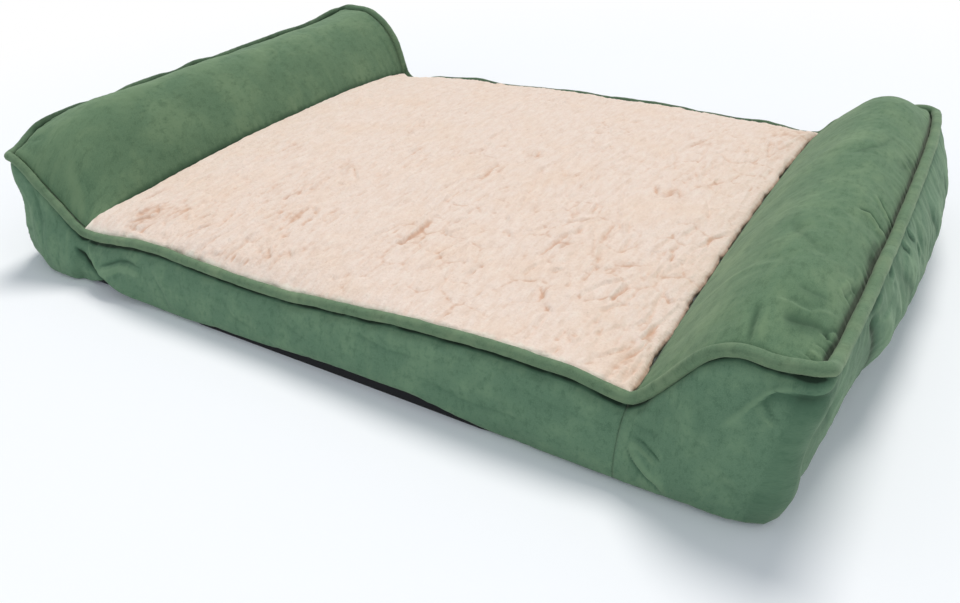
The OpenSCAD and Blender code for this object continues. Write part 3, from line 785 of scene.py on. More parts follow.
def underside_cloth():
    """Black non-woven cloth with a close field of rubbery grip dots."""
    material, tree, shader = new_material("underside", specular_ior_level=0.3)
    cloth = place_on(tree, "cloth")
    dots = node(tree, "TexVoronoi", {"Vector": cloth, "Scale": 190.0, "Randomness": 0.0}, feature="F1")
    dot = ramp(tree, dots.outputs["Distance"], 0.34, 0.22)
    fibres = noise_value(tree, cloth, 700.0, 3.0, 0.7)
    colour = blend_colour(tree, dot, srgb(26, 27, 30), srgb(40, 41, 45))
    colour = tinted(tree, fibres, 0.4, 0.75, 0.5, colour, srgb(14, 15, 17))
    tree.links.new(colour, shader.inputs["Base Color"])
    tree.links.new(ramp(tree, dot, 0.0, 1.0, 0.92, 0.5), shader.inputs["Roughness"])
    height = maths(tree, "ADD", maths(tree, "MULTIPLY", fibres, 0.2), dot)
    tree.links.new(bump(tree, height, 0.6, 0.0006), shader.inputs["Normal"])
    return material


def foam_stuff():
    material, tree, shader = new_material("foam", specular_ior_level=0.2)
    place = place_on(tree, "object")
    pores = node(tree, "TexVoronoi", {"Vector": place, "Scale": 700.0}, feature="F1").outputs["Distance"]
    tint = noise_value(tree, place, 9.0, 2.0)
    # Painted shade: each pore is darkened towards its middle.
    colour = blend_colour(tree, ramp(tree, pores, 0.15, 0.6), srgb(204, 184, 120), srgb(240, 226, 168))
    colour = tinted(tree, tint, 0.4, 0.7, 0.4, colour, srgb(232, 212, 146))
    tree.links.new(colour, shader.inputs["Base Color"])
    tree.links.new(bump(tree, pores, 0.6, 0.0008), shader.inputs["Normal"])
    return material


def loose_fibre(name, colour, shade):
    material, tree, shader = new_material(name, sheen_weight=0.3, specular_ior_level=0.1)
    place = place_on(tree, "object")
    strands = noise_value(tree, stretched(tree, place, (220.0, 500.0, 320.0)), 1.0, 4.0, 0.7)
    clumps = noise_value(tree, place, 28.0, 3.0, 0.6)
    colour = blend_colour(tree, ramp(tree, strands, 0.35, 0.7), shade, colour)
    colour = tinted(tree, clumps, 0.4, 0.7, 0.4, colour, shade)
    tree.links.new(colour, shader.inputs["Base Color"])
    height = maths(tree, "ADD", strands, maths(tree, "MULTIPLY", clumps, 2.0))
    tree.links.new(bump(tree, height, 0.6, 0.002), shader.inputs["Normal"])
    return material


def zip_plastic():
    material, tree, shader = new_material("zip_coil", roughness=0.45, specular_ior_level=0.4)
    speck = noise_value(tree, place_on(tree, "object"), 300.0, 2.0)
    colour = blend_colour(tree, ramp(tree, speck, 0.4, 0.7), srgb(52, 76, 60), srgb(66, 92, 74))
    tree.links.new(colour, shader.inputs["Base Color"])
    return material


def painted_zip_metal():
    """Dark green paint on cast zinc, rubbed through to bare metal in specks."""
    material, tree, shader = new_material("zip_metal", roughness=0.4)
    place = place_on(tree, "object")
    rub = ramp(tree, noise_value(tree, place, 520.0, 4.0, 0.7), 0.62, 0.7)
    grain = noise_value(tree, place, 1600.0, 2.0)
    colour = blend_colour(tree, rub, srgb(64, 84, 70), srgb(150, 152, 150))
    tree.links.new(colour, shader.inputs["Base Color"])
    tree.links.new(rub, shader.inputs["Metallic"])
    tree.links.new(ramp(tree, grain, 0.3, 0.7, 0.34, 0.5), shader.inputs["Roughness"])
    tree.links.new(bump(tree, grain, 0.15, 0.0001), shader.inputs["Normal"])
    return material


# One green cloth in two copies: the walls' copy is lighter and bluer than the tops', painted light that makes
# up for the light the walls get.
GREEN = brushed_cloth("brushed_cloth", srgb(92, 121, 94), srgb(118, 143, 110), srgb(64, 91, 69))
WALL_GREEN_LIGHTENED = brushed_cloth("wall_cloth_lightened", srgb(96, 128, 104), srgb(120, 150, 120), srgb(66, 98, 78))
PIPING_GREEN = brushed_cloth("piping", srgb(99, 126, 99), srgb(124, 145, 114), srgb(70, 94, 71))
FLEECE = fleece_cloth()
LINING = woven_cloth("lining", srgb(232, 231, 226), srgb(200, 198, 192))
UNDERSIDE = underside_cloth()
FOAM = foam_stuff()
WADDING = loose_fibre("wadding", srgb(244, 244, 242), srgb(216, 218, 220))
CORD = woven_cloth("cord", srgb(232, 230, 222), srgb(190, 186, 176), threads=1800.0)
TAPE = woven_cloth("zip_tape", srgb(66, 92, 74), srgb(44, 64, 52))
COIL = zip_plastic()
ZIP_METAL = painted_zip_metal()


# Cloth that settles

SETTLE_FRAMES = 18
SETTLE_CAP = 3.5
SETTLE_SHARE = 0.6
SETTLE_SPREAD = 70
SETTLE_PUSH = 0.5
TOP_SLACK = 0.007
WALL_SLACK = 0.009
SETTLE_TOP_GRID = (26, 118)
SETTLE_WALL_STEP = 6.5
SETTLE_WALL_ROWS = 16


def loose_cloth(name, across, up, base, slack, push):
    """A cloth cut a little larger than its place, pinned along its seams and pushed from within."""
    mesh, u, v = sheet_mesh(name, across, up)
    places = np.stack(base(u, v)[:3], -1)
    place_corners(mesh, places)
    cloth = bpy.data.objects.new(name, mesh)
    bpy.context.scene.collection.objects.link(cloth)
    edge = np.minimum(np.minimum(u, 1 - u), np.minimum(v, 1 - v)) < 1e-4
    seams = cloth.vertex_groups.new(name="seams")
    seams.add(np.flatnonzero(edge).tolist(), 1.0, "REPLACE")
    settling = cloth.modifiers.new("settling", "CLOTH")
    settling.point_cache.frame_start = 1
    settling.point_cache.frame_end = SETTLE_FRAMES
    cut = settling.settings
    cut.quality = 6
    cut.mass = 0.12
    cut.tension_stiffness = 20
    cut.compression_stiffness = 20
    cut.shear_stiffness = 8
    cut.bending_stiffness = 0.06
    cut.vertex_group_mass = "seams"
    cut.shrink_min = -slack
    cut.use_pressure = True
    cut.uniform_pressure_force = push
    cut.effector_weights.gravity = 0
    return cloth, places, np.lexsort((u.round(5), v.round(5))), (up + 1, across + 1)


def softened(field, steps):
    """A field of movements spread evenly over its neighbours, again and again."""
    for _ in range(steps):
        wide = np.pad(field, ((1, 1), (1, 1), (0, 0)), "edge")
        around = wide[:-2, 1:-1] + wide[2:, 1:-1] + wide[1:-1, :-2] + wide[1:-1, 2:]
        field = field / 2 + around / 8
    return field


def settled(cloths):
    """How each loose cloth crumples, without the swelling that its place already has."""
    moves = {}
    loose = {name: loose_cloth(name, *rest) for name, *rest in cloths}
    for moment in range(1, SETTLE_FRAMES + 1):
        bpy.context.scene.frame_set(moment)
    seen = bpy.context.evaluated_depsgraph_get()
    for name, (cloth, places, order, rows) in loose.items():
        held = cloth.evaluated_get(seen)
        moved = (corners(held.data) / MM - places)[order].reshape(*rows, 3)
        moved = moved - softened(moved, SETTLE_SPREAD)
        moves[name] = SETTLE_SHARE * SETTLE_CAP * np.tanh(moved / SETTLE_CAP)
    for cloth, *_ in loose.values():
        mesh = cloth.data
        bpy.data.objects.remove(cloth)
        bpy.data.meshes.remove(mesh)
    bpy.context.scene.frame_set(1)
    return moves


def cubic(t):
    """Shares of four neighbours in a smooth reading between the middle two."""
    return (
        (2 * t ** 2 - t ** 3 - t) / 2,
        (3 * t ** 3 - 5 * t ** 2 + 2) / 2,
        (4 * t ** 2 - 3 * t ** 3 + t) / 2,
        (t ** 3 - t ** 2) / 2,
    )


def move_at(name, u, v):
    """How far the settled cloth moved at places u across and v up it."""
    if name not in MOVES:
        return np.zeros((len(u), 3))
    field = MOVES[name]
    rows, columns = field.shape[:2]
    across = np.clip(u, 0, 1) * (columns - 1)
    up = np.clip(v, 0, 1) * (rows - 1)
    i = np.minimum(across.astype(int), columns - 2)
    j = np.minimum(up.astype(int), rows - 2)
    total = np.zeros((len(u), 3))
    for di, share_across in zip((-1, 0, 1, 2), cubic(across - i)):
        for dj, share_up in zip((-1, 0, 1, 2), cubic(up - j)):
            near = field[np.clip(j + dj, 0, rows - 1), np.clip(i + di, 0, columns - 1)]
            total += (share_across * share_up)[:, None] * near
    return total


# The quilted sleeping surface

EDGE_ROLL = 6.5
PILE = 4.5
FLEECE_GRID = (390, 370)
# Creases of the fleece one by one: depth, width and line
FLEECE_LINES = [
    (2.6, 1.5, [(51, -248), (53, -218), (53, -184)]),
    (1.2, 1.3, [(19, -257), (26, -238), (30, -210)]),
    (0.9, 1.3, [(7, -258), (19, -228)]),
    (1.0, 1.3, [(104, -257), (109, -240)]),
    (0.8, 1.5, [(120, -226), (123, -204)]),
    (1.2, 1.5, [(150, -270), (153, -261), (155, -236)]),
    (1.0, 1.4, [(-80, -121), (-80, -94)]),
    (0.8, 1.4, [(-79, -61), (-81, -31), (-75, 6)]),
    (1.2, 2.6, [(51, -77), (46, -44), (47, -13)]),
    (0.9, 1.3, [(42, -132), (43, -109)]),
    (0.9, 2.2, [(-135, 18), (-132, 52), (-135, 83)]),
    (0.8, 1.5, [(-135, 98), (-147, 137)]),
    (1.5, 1.6, [(-96, -278), (-103, -252), (-108, -228)]),
    (1.5, 1.5, [(-113, -256), (-116, -241)]),
    (1.0, 1.5, [(-132, -221), (-144, -190), (-152, -169)]),
    (0.9, 1.4, [(-173, -158), (-183, -133)]),
    (1.3, 1.8, [(-104, -214), (-83, -231)]),
    (1.5, 1.8, [(-88, -311), (-74, -326)]),
    (1.5, 2.2, [(-61, -306), (-50, -316)]),
    (1.2, 1.4, [(-127, -101), (-111, -118), (-96, -135)]),
    (0.9, 1.4, [(-117, -154), (-101, -152), (-104, -133)]),
    (1.0, 1.8, [(-9, -314), (-2, -299), (6, -287)]),
    (0.9, 1.5, [(14, -293), (15, -280)]),
    (1.0, 1.8, [(15, -325), (25, -332)]),
    (1.2, 1.6, [(76, -197), (89, -210)]),
    (1.2, 1.6, [(124, -138), (134, -152)]),
    (1.3, 1.8, [(144, -169), (157, -184)]),
    (0.9, 1.5, [(160, -296), (156, -279)]),
    (1.0, 1.5, [(167, -344), (170, -327)]),
    (0.8, 1.4, [(184, -335), (190, -318)]),
    (1.8, 1.8, [(227, -252), (233, -260), (240, -269)]),
    (1.5, 1.7, [(247, -278), (254, -286)]),
    (1.8, 1.8, [(78, 25), (74, 46)]),
    (0.7, 1.4, [(76, 58), (72, 102)]),
    (1.3, 1.5, [(204, -249), (204, -229), (211, -209)]),
    (1.2, 1.5, [(199, -213), (203, -177), (209, -156), (215, -127)]),
    (0.9, 1.4, [(212, -186), (215, -163), (216, -113)]),
    (1.6, 1.8, [(227, -225), (234, -213)]),
    (1.4, 1.6, [(269, -194), (274, -182)]),
    (1.2, 1.7, [(229, -69), (242, -85)]),
    (0.9, 1.5, [(246, -98), (261, -125)]),
    (0.9, 1.4, [(252, -188), (262, -192), (268, -184)]),
    (0.9, 1.4, [(260, -221), (259, -197)]),
    (0.9, 1.4, [(294, -263), (304, -245), (311, -235)]),
    (0.8, 1.4, [(273, -294), (282, -308), (299, -325)]),
    (0.8, 1.4, [(310, -319), (312, -301), (307, -282)]),
    (1.8, 1.6, [(345, -284), (348, -267), (349, -249)]),
    (1.5, 1.5, [(343, -313), (350, -296), (353, -270)]),
    (1.2, 1.4, [(320, -327), (330, -312), (342, -294)]),
    (1.4, 1.5, [(333, -264), (339, -253)]),
    (1.2, 1.6, [(355, -297), (355, -285)]),
    (1.0, 1.5, [(352, -347), (352, -336)]),
    (1.0, 1.5, [(340, -347), (341, -337)]),
    (1.4, 1.5, [(335, -197), (341, -206), (348, -215)]),
    (0.8, 1.2, [(345, -213), (363, -200)]),
    (0.7, 1.2, [(321, -225), (329, -204)]),
    (1.0, 1.2, [(338, -91), (349, -73), (358, -53)]),
    (1.6, 1.8, [(244, 18), (252, 1), (259, -14)]),
    (1.0, 1.4, [(272, 80), (287, 45)]),
    (0.9, 1.3, [(278, 80), (275, 113)]),
    (1.1, 1.6, [(237, 166), (245, 182), (254, 221)]),
    (0.8, 1.3, [(312, -161), (311, -142), (312, -123)]),
    (0.8, 1.2, [(296, -162), (302, -177), (311, -190)]),
    (0.8, 1.2, [(313, -189), (319, -178), (319, -161)]),
    (0.8, 1.3, [(315, 15), (314, 54)]),
    (0.8, 1.1, [(320, -18), (332, -12)]),
    (0.8, 1.2, [(349, 78), (357, 95)]),
    (1.3, 2.0, [(356, 265), (360, 295), (361, 346)]),
    (1.6, 1.6, [(-302, -289), (-282, -306)]),
    (1.2, 2.4, [(-298, -340), (-277, -342), (-274, -324)]),
    (1.2, 2.0, [(-311, -332), (-296, -321), (-281, -312)]),
    (0.9, 1.6, [(-262, -276), (-232, -303)]),
    (0.9, 1.5, [(-246, -280), (-246, -266)]),
    (0.8, 1.4, [(-326, -211), (-336, -190)]),
    (0.8, 1.5, [(-259, -195), (-269, -173)]),
    (1.4, 2.0, [(-154, -349), (-153, -342)]),
    (1.3, 1.8, [(-143, -347), (-140, -339)]),
    (1.2, 1.8, [(-118, -345), (-120, -335)]),
    (1.2, 1.8, [(-98, -345), (-98, -335)]),
    (1.0, 1.5, [(-121, -261), (-129, -240)]),
    (0.9, 1.3, [(-88, -300), (-90, -283)]),
    (0.8, 1.3, [(-63, -278), (-61, -260)]),
    (0.7, 1.3, [(-72, -237), (-73, -214)]),
    (0.8, 1.4, [(210, 128), (210, 158)]),
    (0.8, 1.4, [(157, 54), (160, 16)]),
    (0.7, 1.4, [(114, 26), (111, 67)]),
    (0.9, 1.4, [(143, 87), (150, 118)]),
]
# Patches darkened towards the creases' pinkish tan: middle, reach and strength
TAN_PATCHES = [
    (-292, -329, 15, 1.3),
    (-295, -304, 24, 0.9),
    (270, 4, 12, 1.2),
    (284, -172, 16, 1.0),
    (292, -264, 8, 0.9),
    (-269, -298, 19, 0.7),
    (-143, -344, 19, 0.9),
    (-104, -342, 15, 0.9),
    (-82, -329, 13, 0.8),
    (-113, -245, 20, 0.7),
    (349, -269, 13, 1.0),
    (358, -315, 17, 0.8),
    (362, 302, 58, 1.1),
    (361, 198, 40, 0.8),
    (245, 182, 19, 0.7),
    (-184, -203, 34, 0.5),
    (50, -225, 17, 0.6),
    (205, -162, 15, 0.6),
    (344, -339, 13, 0.8),
    (44, -275, 22, 0.4),
    (-136, -108, 22, 0.4),
    (288, 196, 14, 0.6),
]
# Where finer creases gather: middle, reach, how many, how much painted shade darkens them, and their lean
CREASE_FIELDS = [
    ((-250, -300), (90, 40), 24, 0.8, 0.1),
    ((-130, -240), (90, 90), 60, 0.6, 0.05),
    ((-190, -160), (150, 110), 50, 0.5, 0.1),
    ((60, -150), (190, 160), 90, 0.5, 0.05),
    ((300, -230), (60, 120), 40, 0.6, 0.05),
    ((230, 60), (130, 180), 60, 0.5, 0.1),
    ((-120, 160), (180, 150), 50, 0.4, 0.1),
    ((0, 0), (340, 330), 200, 0.4, 0.1),
]


def fleece_creases(x, y):
    """Creases pressed into the pile, most running from front to back: height, and the painted shade in them
    with the tan patches.
    """
    draw = np.random.default_rng(23)
    height = np.zeros(x.shape)
    crease_shade_and_patches = np.zeros(x.shape)
    for (mid_x, mid_y), (reach_x, reach_y), count, tint, lean in CREASE_FIELDS:
        for _ in range(count):
            cx = mid_x + reach_x * draw.uniform(-1, 1)
            cy = mid_y + reach_y * draw.uniform(-1, 1)
            angle = np.pi / 2 + lean * draw.normal(1, 1) + draw.normal(-0.05, 0.22)
            half = draw.gamma(3.0, 6.5) + 5
            width = draw.uniform(0.9, 1.9)
            deep = draw.uniform(0.3, 1.0)
            bend = draw.normal(0, 0.1)
            near = (np.abs(x - cx) < half + 12) & (np.abs(y - cy) < half + 12)
            dx = x[near] - cx
            dy = y[near] - cy
            along = dx * math.cos(angle) + dy * math.sin(angle)
            side = dy * math.cos(angle) - dx * math.sin(angle) + bend * along ** 2 / half
            fade = np.clip(1 - (along / half) ** 2, 0, 1)
            valley = fade * hump(side, width)
            height[near] += deep * (0.55 * fade * hump(side - 2.3 * width, 1.5 * width) - valley)
            crease_shade_and_patches[near] += tint * deep * valley
    for deep, width, points in FLEECE_LINES:
        xs, ys = zip(*points)
        near = (x > min(xs) - 14) & (x < max(xs) + 14) & (y > min(ys) - 14) & (y < max(ys) + 14)
        line = crease(x[near], y[near], points, width, deep, 0.6)
        height[near] += line
        crease_shade_and_patches[near] += np.maximum(0, -line)
    for mid_x, mid_y, reach, strength in TAN_PATCHES:
        crease_shade_and_patches += 0.65 * strength * hump(np.hypot(x - mid_x, y - mid_y), reach)
    return height, crease_shade_and_patches


def quilt_relief(x, y):
    """Puffed cells, sewn lines and creases of the fleece: height, and a painted shading value, lighter on
    raised fluff, darker in sewn lines, creases and tan patches.
    """
    warp_x = x + 6 * lumps(x, y, 42, 42, 3.1)
    warp_y = y + 6 * lumps(x, y, 42, 42, 7.7)
    edge, tone = cell_edges(warp_x, warp_y, 40, 5)
    front = np.clip(0.45 - (y + 40) / 500 + (x + 60) / 1100, 0.12, 0.9)
    seen = np.clip(front + 0.8 * lumps(x, y, 60, 80, 12.5), 0.04, 1)
    line = hump(edge, 1.7) * seen * (0.45 + 0.55 * np.clip(lumps(x, y, 30, 30, 44.5) + 0.4, 0, 1))
    puff = 0.9 * (1 - np.exp(-edge / 7)) * (0.6 + 0.8 * tone) * seen
    streak, crease_shade_and_patches = fleece_creases(x, y)
    soft = 2.0 * lumps(x, y, 95, 120, 71.8) + 0.9 * lumps(x - 0.1 * y, y, 18, 40, 81.1)
    combed = x - 0.12 * y
    fluff = 0.34 * lumps(combed, y, 4.5, 24, 91.6) + 0.22 * lumps(x, y, 7, 11, 93.6)
    fluff = fluff + 0.26 * lumps(x, y, 3.4, 5, 95.2)
    height = puff - 1.0 * line + soft + 2.3 * streak + 2.2 * fluff
    # Painted shading: lighter on raised fluff, painted shade in the sewn lines and creases, darker in the tan
    # patches.
    deep = 0.8 * fluff - (0.35 + 0.4 * smooth_step((x + 60) / 120)) * line - 0.7 * crease_shade_and_patches
    return height, deep


def quilt_shape(u, v):
    corner = hump(mix(-HALF_W, HALF_W, v) + HALF_W, 50) * (u < 0.5)
    side = SEAM_X + 1.2 + 12.5 * corner
    x = mix(-side, side, u)
    front = front_y(x) + PIPING_R - 2.4
    back = back_y(x) - PIPING_R + 1.6
    y = mix(front, back, v)
    height, deep = quilt_relief(x, y)
    to_side = side - np.abs(x)
    to_end = np.minimum(y - front, back - y)
    ragged = 2.4 * lumps(x, y, 22, 22, 13.7) + 1.7 * lumps(x, y, 9, 9, 3.3) + 0.7 * lumps(x, y, 5, 5, 9.1)
    calm = np.clip(np.minimum(to_side, to_end) / 14, 0, 1)
    turn_side = np.clip(1 - to_side / EDGE_ROLL, 0, 1)
    turn_end = np.clip(1 - to_end / EDGE_ROLL, 0, 1)
    z = bed_height(x, y) + PILE + 3 * corner * hump(x + SEAM_X, 30) + height * (0.35 + 0.65 * calm)
    z = z - EDGE_ROLL * (1 - np.cos(np.pi / 2 * np.maximum(turn_side, turn_end))) * 1.1
    x_out = x + np.sign(x) * turn_side * (ragged + EDGE_ROLL * (np.sin(np.pi / 2 * turn_side) - turn_side))
    y_out = y + np.sign(y) * turn_end * (ragged + EDGE_ROLL * (np.sin(np.pi / 2 * turn_end) - turn_end))
    # Painted highlight on the rolled front and back edges and the left side, and painted shade along the
    # right seam.
    rim = hump(to_end, 7) * (1.3 + 0.6 * lumps(x, y, 20, 20, 5.9)) + 1.2 * hump(to_side, 6) * (x < 0)
    shade = 2.0 * hump(SEAM_X + 1.2 - x, 2.4)
    return (x_out, y_out, z), deep * (0.2 + 0.8 * calm) + rim - shade, (x, y)


def sleep_cover():
    grid = FLEECE_GRID
    piece = grid_piece("sleep_cover", *grid, quilt_shape)
    thicken(piece, CLOTH_T)
    finish(piece, FLEECE, "bed", ["sleep_panel"])


# The bolster tops

TOP_GRID = (92, 380)
RIGHT_TOP_CREASES = [
    ([(506, -80), (499, -86), (493, -84), (487, -81), (477, -86)], 2.2, 6.0, 0.6),
    ([(508, -50), (503, -53), (497, -50), (487, -38)], 2.0, 4.4, 0.6),
    ([(501, -112), (500, -132), (502, -176)], 2.0, 3.0, -0.4),
    ([(450, -292), (464, -290), (472, -291), (480, -289), (486, -281), (499, -272)], 2.6, -2.2, 0.3),
    ([(462, -264), (474, -266), (492, -260)], 6.0, 1.5, 0.2),
    ([(462, -308), (476, -303), (494, -294)], 9.0, 2.6, 0.0),
    ([(443, -300), (446, -328), (449, -346)], 2.8, 2.8, 0.7),
    ([(434, -304), (440, -342)], 4.0, -1.0, 0.2),
    ([(496, -242), (498, -224), (501, -206)], 1.6, 2.6, 0.7),
    ([(501, -218), (493, -216)], 1.5, 2.0, 0.6),
    ([(501, -240), (492, -236)], 1.5, 2.0, 0.6),
    ([(500, -284), (495, -296), (498, -310)], 1.8, 2.8, 0.6),
    ([(501, -303), (492, -300)], 1.5, 2.2, 0.6),
    ([(501, -318), (490, -318)], 1.5, 2.2, 0.6),
    ([(486, -334), (494, -338), (502, -346)], 1.6, 3.0, 0.7),
    ([(480, -341), (492, -343)], 1.5, 2.0, 0.5),
    ([(376, -242), (398, -236), (418, -232), (440, -236)], 5.0, -1.5, 0.3),
    ([(470, -205), (440, -170), (424, -130)], 8.0, 1.4, 0.6),
    ([(446, 40), (468, 80), (478, 130)], 9.0, 1.8, 0.6),
    ([(492, 60), (500, 90), (496, 120)], 7.0, 2.0, 0.4),
]
LEFT_TOP_CREASES = [
    ([(-505, -336), (-492, -326), (-470, -318)], 5.0, 1.8, 0.6),
    ([(-500, -330), (-486, -250), (-478, -180)], 7.0, 1.3, 0.5),
    ([(-372, -345), (-392, -325), (-420, -310)], 5.0, 1.7, 0.6),
    ([(-396, -230), (-430, -160), (-440, -90)], 9.0, 1.4, 0.6),
    ([(-380, 30), (-420, 80), (-450, 150)], 9.0, 1.3, 0.6),
    ([(-440, -20), (-470, 60), (-476, 120)], 9.0, 1.2, 0.6),
]


def bolster_base(side, u, v):
    """A bolster's top without its folds: place, how far it is from its seam, the rim and the ends."""
    sign = (-1, 1)[side]
    inset = PIPING_R - 0.6
    across = u if side else 1 - u
    y = mix(-HALF_W + inset, HALF_W - inset, v)
    outer = HALF_L + SIDE_BOW * swell(v) - inset
    x = mix(SEAM_X + HALF_GAP, outer, across)
    z = bolster_height(side, x, y)
    to_seam = x - SEAM_X
    to_rim = outer - x
    to_end = HALF_W - inset - np.abs(y)
    z = z - 7.0 * hump(to_rim, 3.8) - 2.6 * hump(to_end, 3.2) - 2.6 * hump(to_seam, 3.0)
    dx = np.maximum(0, x - (outer - CORNER_R + inset))
    dy = np.maximum(0, np.abs(y) - (HALF_W - CORNER_R))
    pull = np.where((dx > 0) & (dy > 0), np.maximum(dx, dy) / np.maximum(1e-6, np.hypot(dx, dy)), 1)
    x = x - dx * (1 - pull)
    y = y - np.sign(y) * dy * (1 - pull)
    shift_x, shift_y = plan_shift(sign * x, y)
    return sign * x + shift_x, y + shift_y, z, to_seam, to_rim, to_end


def bolster_shape(side):
    name = ("left_top", "right_top")[side]

    def shape(u, v):
        x, y, z, to_seam, to_rim, to_end = bolster_base(side, u, v)
        calm = np.clip(np.minimum(np.minimum(to_seam, to_rim), to_end) / 25, 0, 1)
        sag = 2.2 * lumps(x, y, 60, 90, 5.0 + side) + 0.8 * lumps(x, y, 26, 30, 15.0 + side)
        fine = 0.25 * lumps(x, y, 8, 8, 18.0 + side)
        folds = puckers(y, to_rim, 13, 1.2, 10, 25.0 + side)
        folds = folds + puckers(x, to_end, 12, 0.7, 9, 35.0 + side)
        folds = folds + puckers(y, to_seam, 15, 0.8, 10, 45.0 + side)
        for points, width, deep, lip in (LEFT_TOP_CREASES, RIGHT_TOP_CREASES)[side]:
            folds = folds + crease(x, y, points, width, deep, lip)
        moved = 0.4 * move_at(name, u, v)
        # Painted shade along the piping, the ends and the seam, lighter on ridges and bulges and darker in
        # creases, and painted light that lightens the whole left top and darkens the right.
        shade = (3.0, 4.2)[side] * hump(to_rim - 1.6, 2.4) * (1 + 0.4 * lumps(y, y * 0, 30, 1, 61.0))
        shade = shade + 0.6 * hump(to_end, 3) + 2.4 * hump(to_seam, 3) + 0.7 * hump(to_seam, (10, 4)[side])
        shade_and_tint = 0.7 * folds + 0.12 * sag * calm - shade + (0.45, -0.1)[side]
        z = z + (sag + fine) * calm + folds + moved[:, 2]
        return (x + moved[:, 0], y + moved[:, 1], z), shade_and_tint, (x * 1.2, y * 0.62)

    return shape


def bolster_top(side):
    name = ("left", "right")[side] + "_bolster_top"
    piece = grid_piece(name + "_cloth", *TOP_GRID, bolster_shape(side))
    thicken(piece, CLOTH_T)
    finish(piece, GREEN, "bed", [name])


# The walls

WALL_ROWS = 64
BACK_WALL_GRID = (260, 24)
HEM_SHARE = 0.08
HEM_DEPTH = 12
FOOT_R = 5
# Height of the front band's lower edge by x: free at the left, and riding up over the underside
FRONT_FOOT = through(
    (-390, 57), (-372, 55), (-358, 44), (-348, 37), (-337, 30), (-322, 23), (-306, 17), (-292, 12),
    (-250, 4.5), (-208, 1.5), (-180, 1.5), (-140, 4), (-60, 6), (3, 10), (73, 12), (137, 12),
    (173, 10), (207, 6), (251, 2), (363, 1),
)
# How far the left wall's free end runs past the seam under the front band, by height up it
CUT_BACK = through(
    (0, -6), (0.08, -5), (0.14, 2), (0.22, 18), (0.32, 38), (0.42, 44), (0.6, 30), (0.8, 14), (1, 12),
)
# How the left wall swells at the front corner, by height
LEFT_CORNER_SWELL = through((0, 9), (20, 8), (47, 4), (70, -3), (88, -6), (115, -3), (146, 0))
AT_FRONT, OVER_FRONT, AT_END = 0, 1, 2
BAND_FOLDS = [
    (AT_FRONT, [(-250, 50), (-276, 52), (-294, 50), (-315, 41), (-333, 35)], 3.0, 3.4, 0.9),
    # Painted highlight: this low ridge lightens the front band's free lower edge.
    (AT_FRONT, [(-380, 61), (-368, 57), (-357, 48), (-347, 41), (-337, 34), (-322, 27),
                (-306, 21)], 2.2, -1.8, 0.0),
    (AT_FRONT, [(-236, 52), (-214, 30), (-205, 12)], 4.0, 1.4, 0.6),
    (AT_FRONT, [(-190, 58), (-176, 34), (-172, 18)], 4.0, 1.2, 0.5),
    (AT_FRONT, [(-120, 50), (-96, 30), (-60, 22)], 5.0, 1.3, 0.6),
    (AT_FRONT, [(-40, 56), (-8, 38), (30, 34)], 5.0, 1.2, 0.6),
    (AT_FRONT, [(60, 60), (120, 54), (176, 57)], 5.0, 1.4, 0.6),
    (AT_FRONT, [(140, 42), (210, 30), (300, 32)], 6.0, 1.3, 0.6),
    (AT_FRONT, [(250, 64), (300, 56), (352, 54)], 5.0, 1.2, 0.5),
]
RIGHT_FOLDS = [
    (AT_FRONT, [(405, 40), (396, 46), (384, 52), (376, 53)], 1.5, 3.0, 0.8),
    (AT_FRONT, [(369, 47), (379, 33), (388, 25), (395, 20), (403, 16), (410, 6)], 2.2, 3.2, 0.8),
    (AT_FRONT, [(372, 64), (386, 62), (400, 66)], 4.0, 1.2, 0.4),
    (AT_FRONT, [(450, 94), (458, 105), (466, 115), (472, 123)], 3.6, -1.6, 0.2),
    (OVER_FRONT, [(463, 110), (466, 114), (471, 121), (476, 129), (481, 133), (488, 135), (497, 137),
                  (507, 139), (522, 144)], 6.0, 3.4, 0.5),
    (AT_FRONT, [(491, 110), (487, 113), (481, 115), (473, 122)], 1.6, 2.4, 0.8),
    (AT_FRONT, [(440, 60), (470, 40), (492, 30)], 9.0, 1.2, 0.5),
    (AT_FRONT, [(424, 112), (432, 84), (430, 50)], 9.0, 1.2, 0.4),
    (AT_END, [(-37, 132), (-36, 126), (-26, 116)], 1.6, 3.4, 0.7),
    (AT_END, [(-69, 133), (-65, 125), (-54, 116)], 1.8, 3.6, 0.7),
    (AT_END, [(-20, 113), (-20, 106), (-26, 100)], 1.6, 2.4, 0.6),
    (AT_END, [(-118, 134), (-128, 128), (-141, 126)], 1.8, 2.6, 0.6),
    (AT_END, [(-166, 130), (-190, 124), (-210, 126)], 2.0, 2.6, 0.6),
    (AT_END, [(-185, 122), (-200, 112), (-188, 92), (-175, 70), (-160, 45), (-150, 20)], 9.0, 3.6, 0.9),
    (AT_END, [(-296, 128), (-300, 100), (-290, 60)], 8.0, 2.4, 0.6),
    (AT_END, [(-100, 118), (-70, 84), (-60, 40)], 9.0, 2.0, 0.6),
    (AT_END, [(60, 118), (84, 80), (90, 40)], 9.0, 2.0, 0.6),
    (AT_END, [(190, 112), (200, 70), (196, 30)], 9.0, 2.0, 0.6),
]
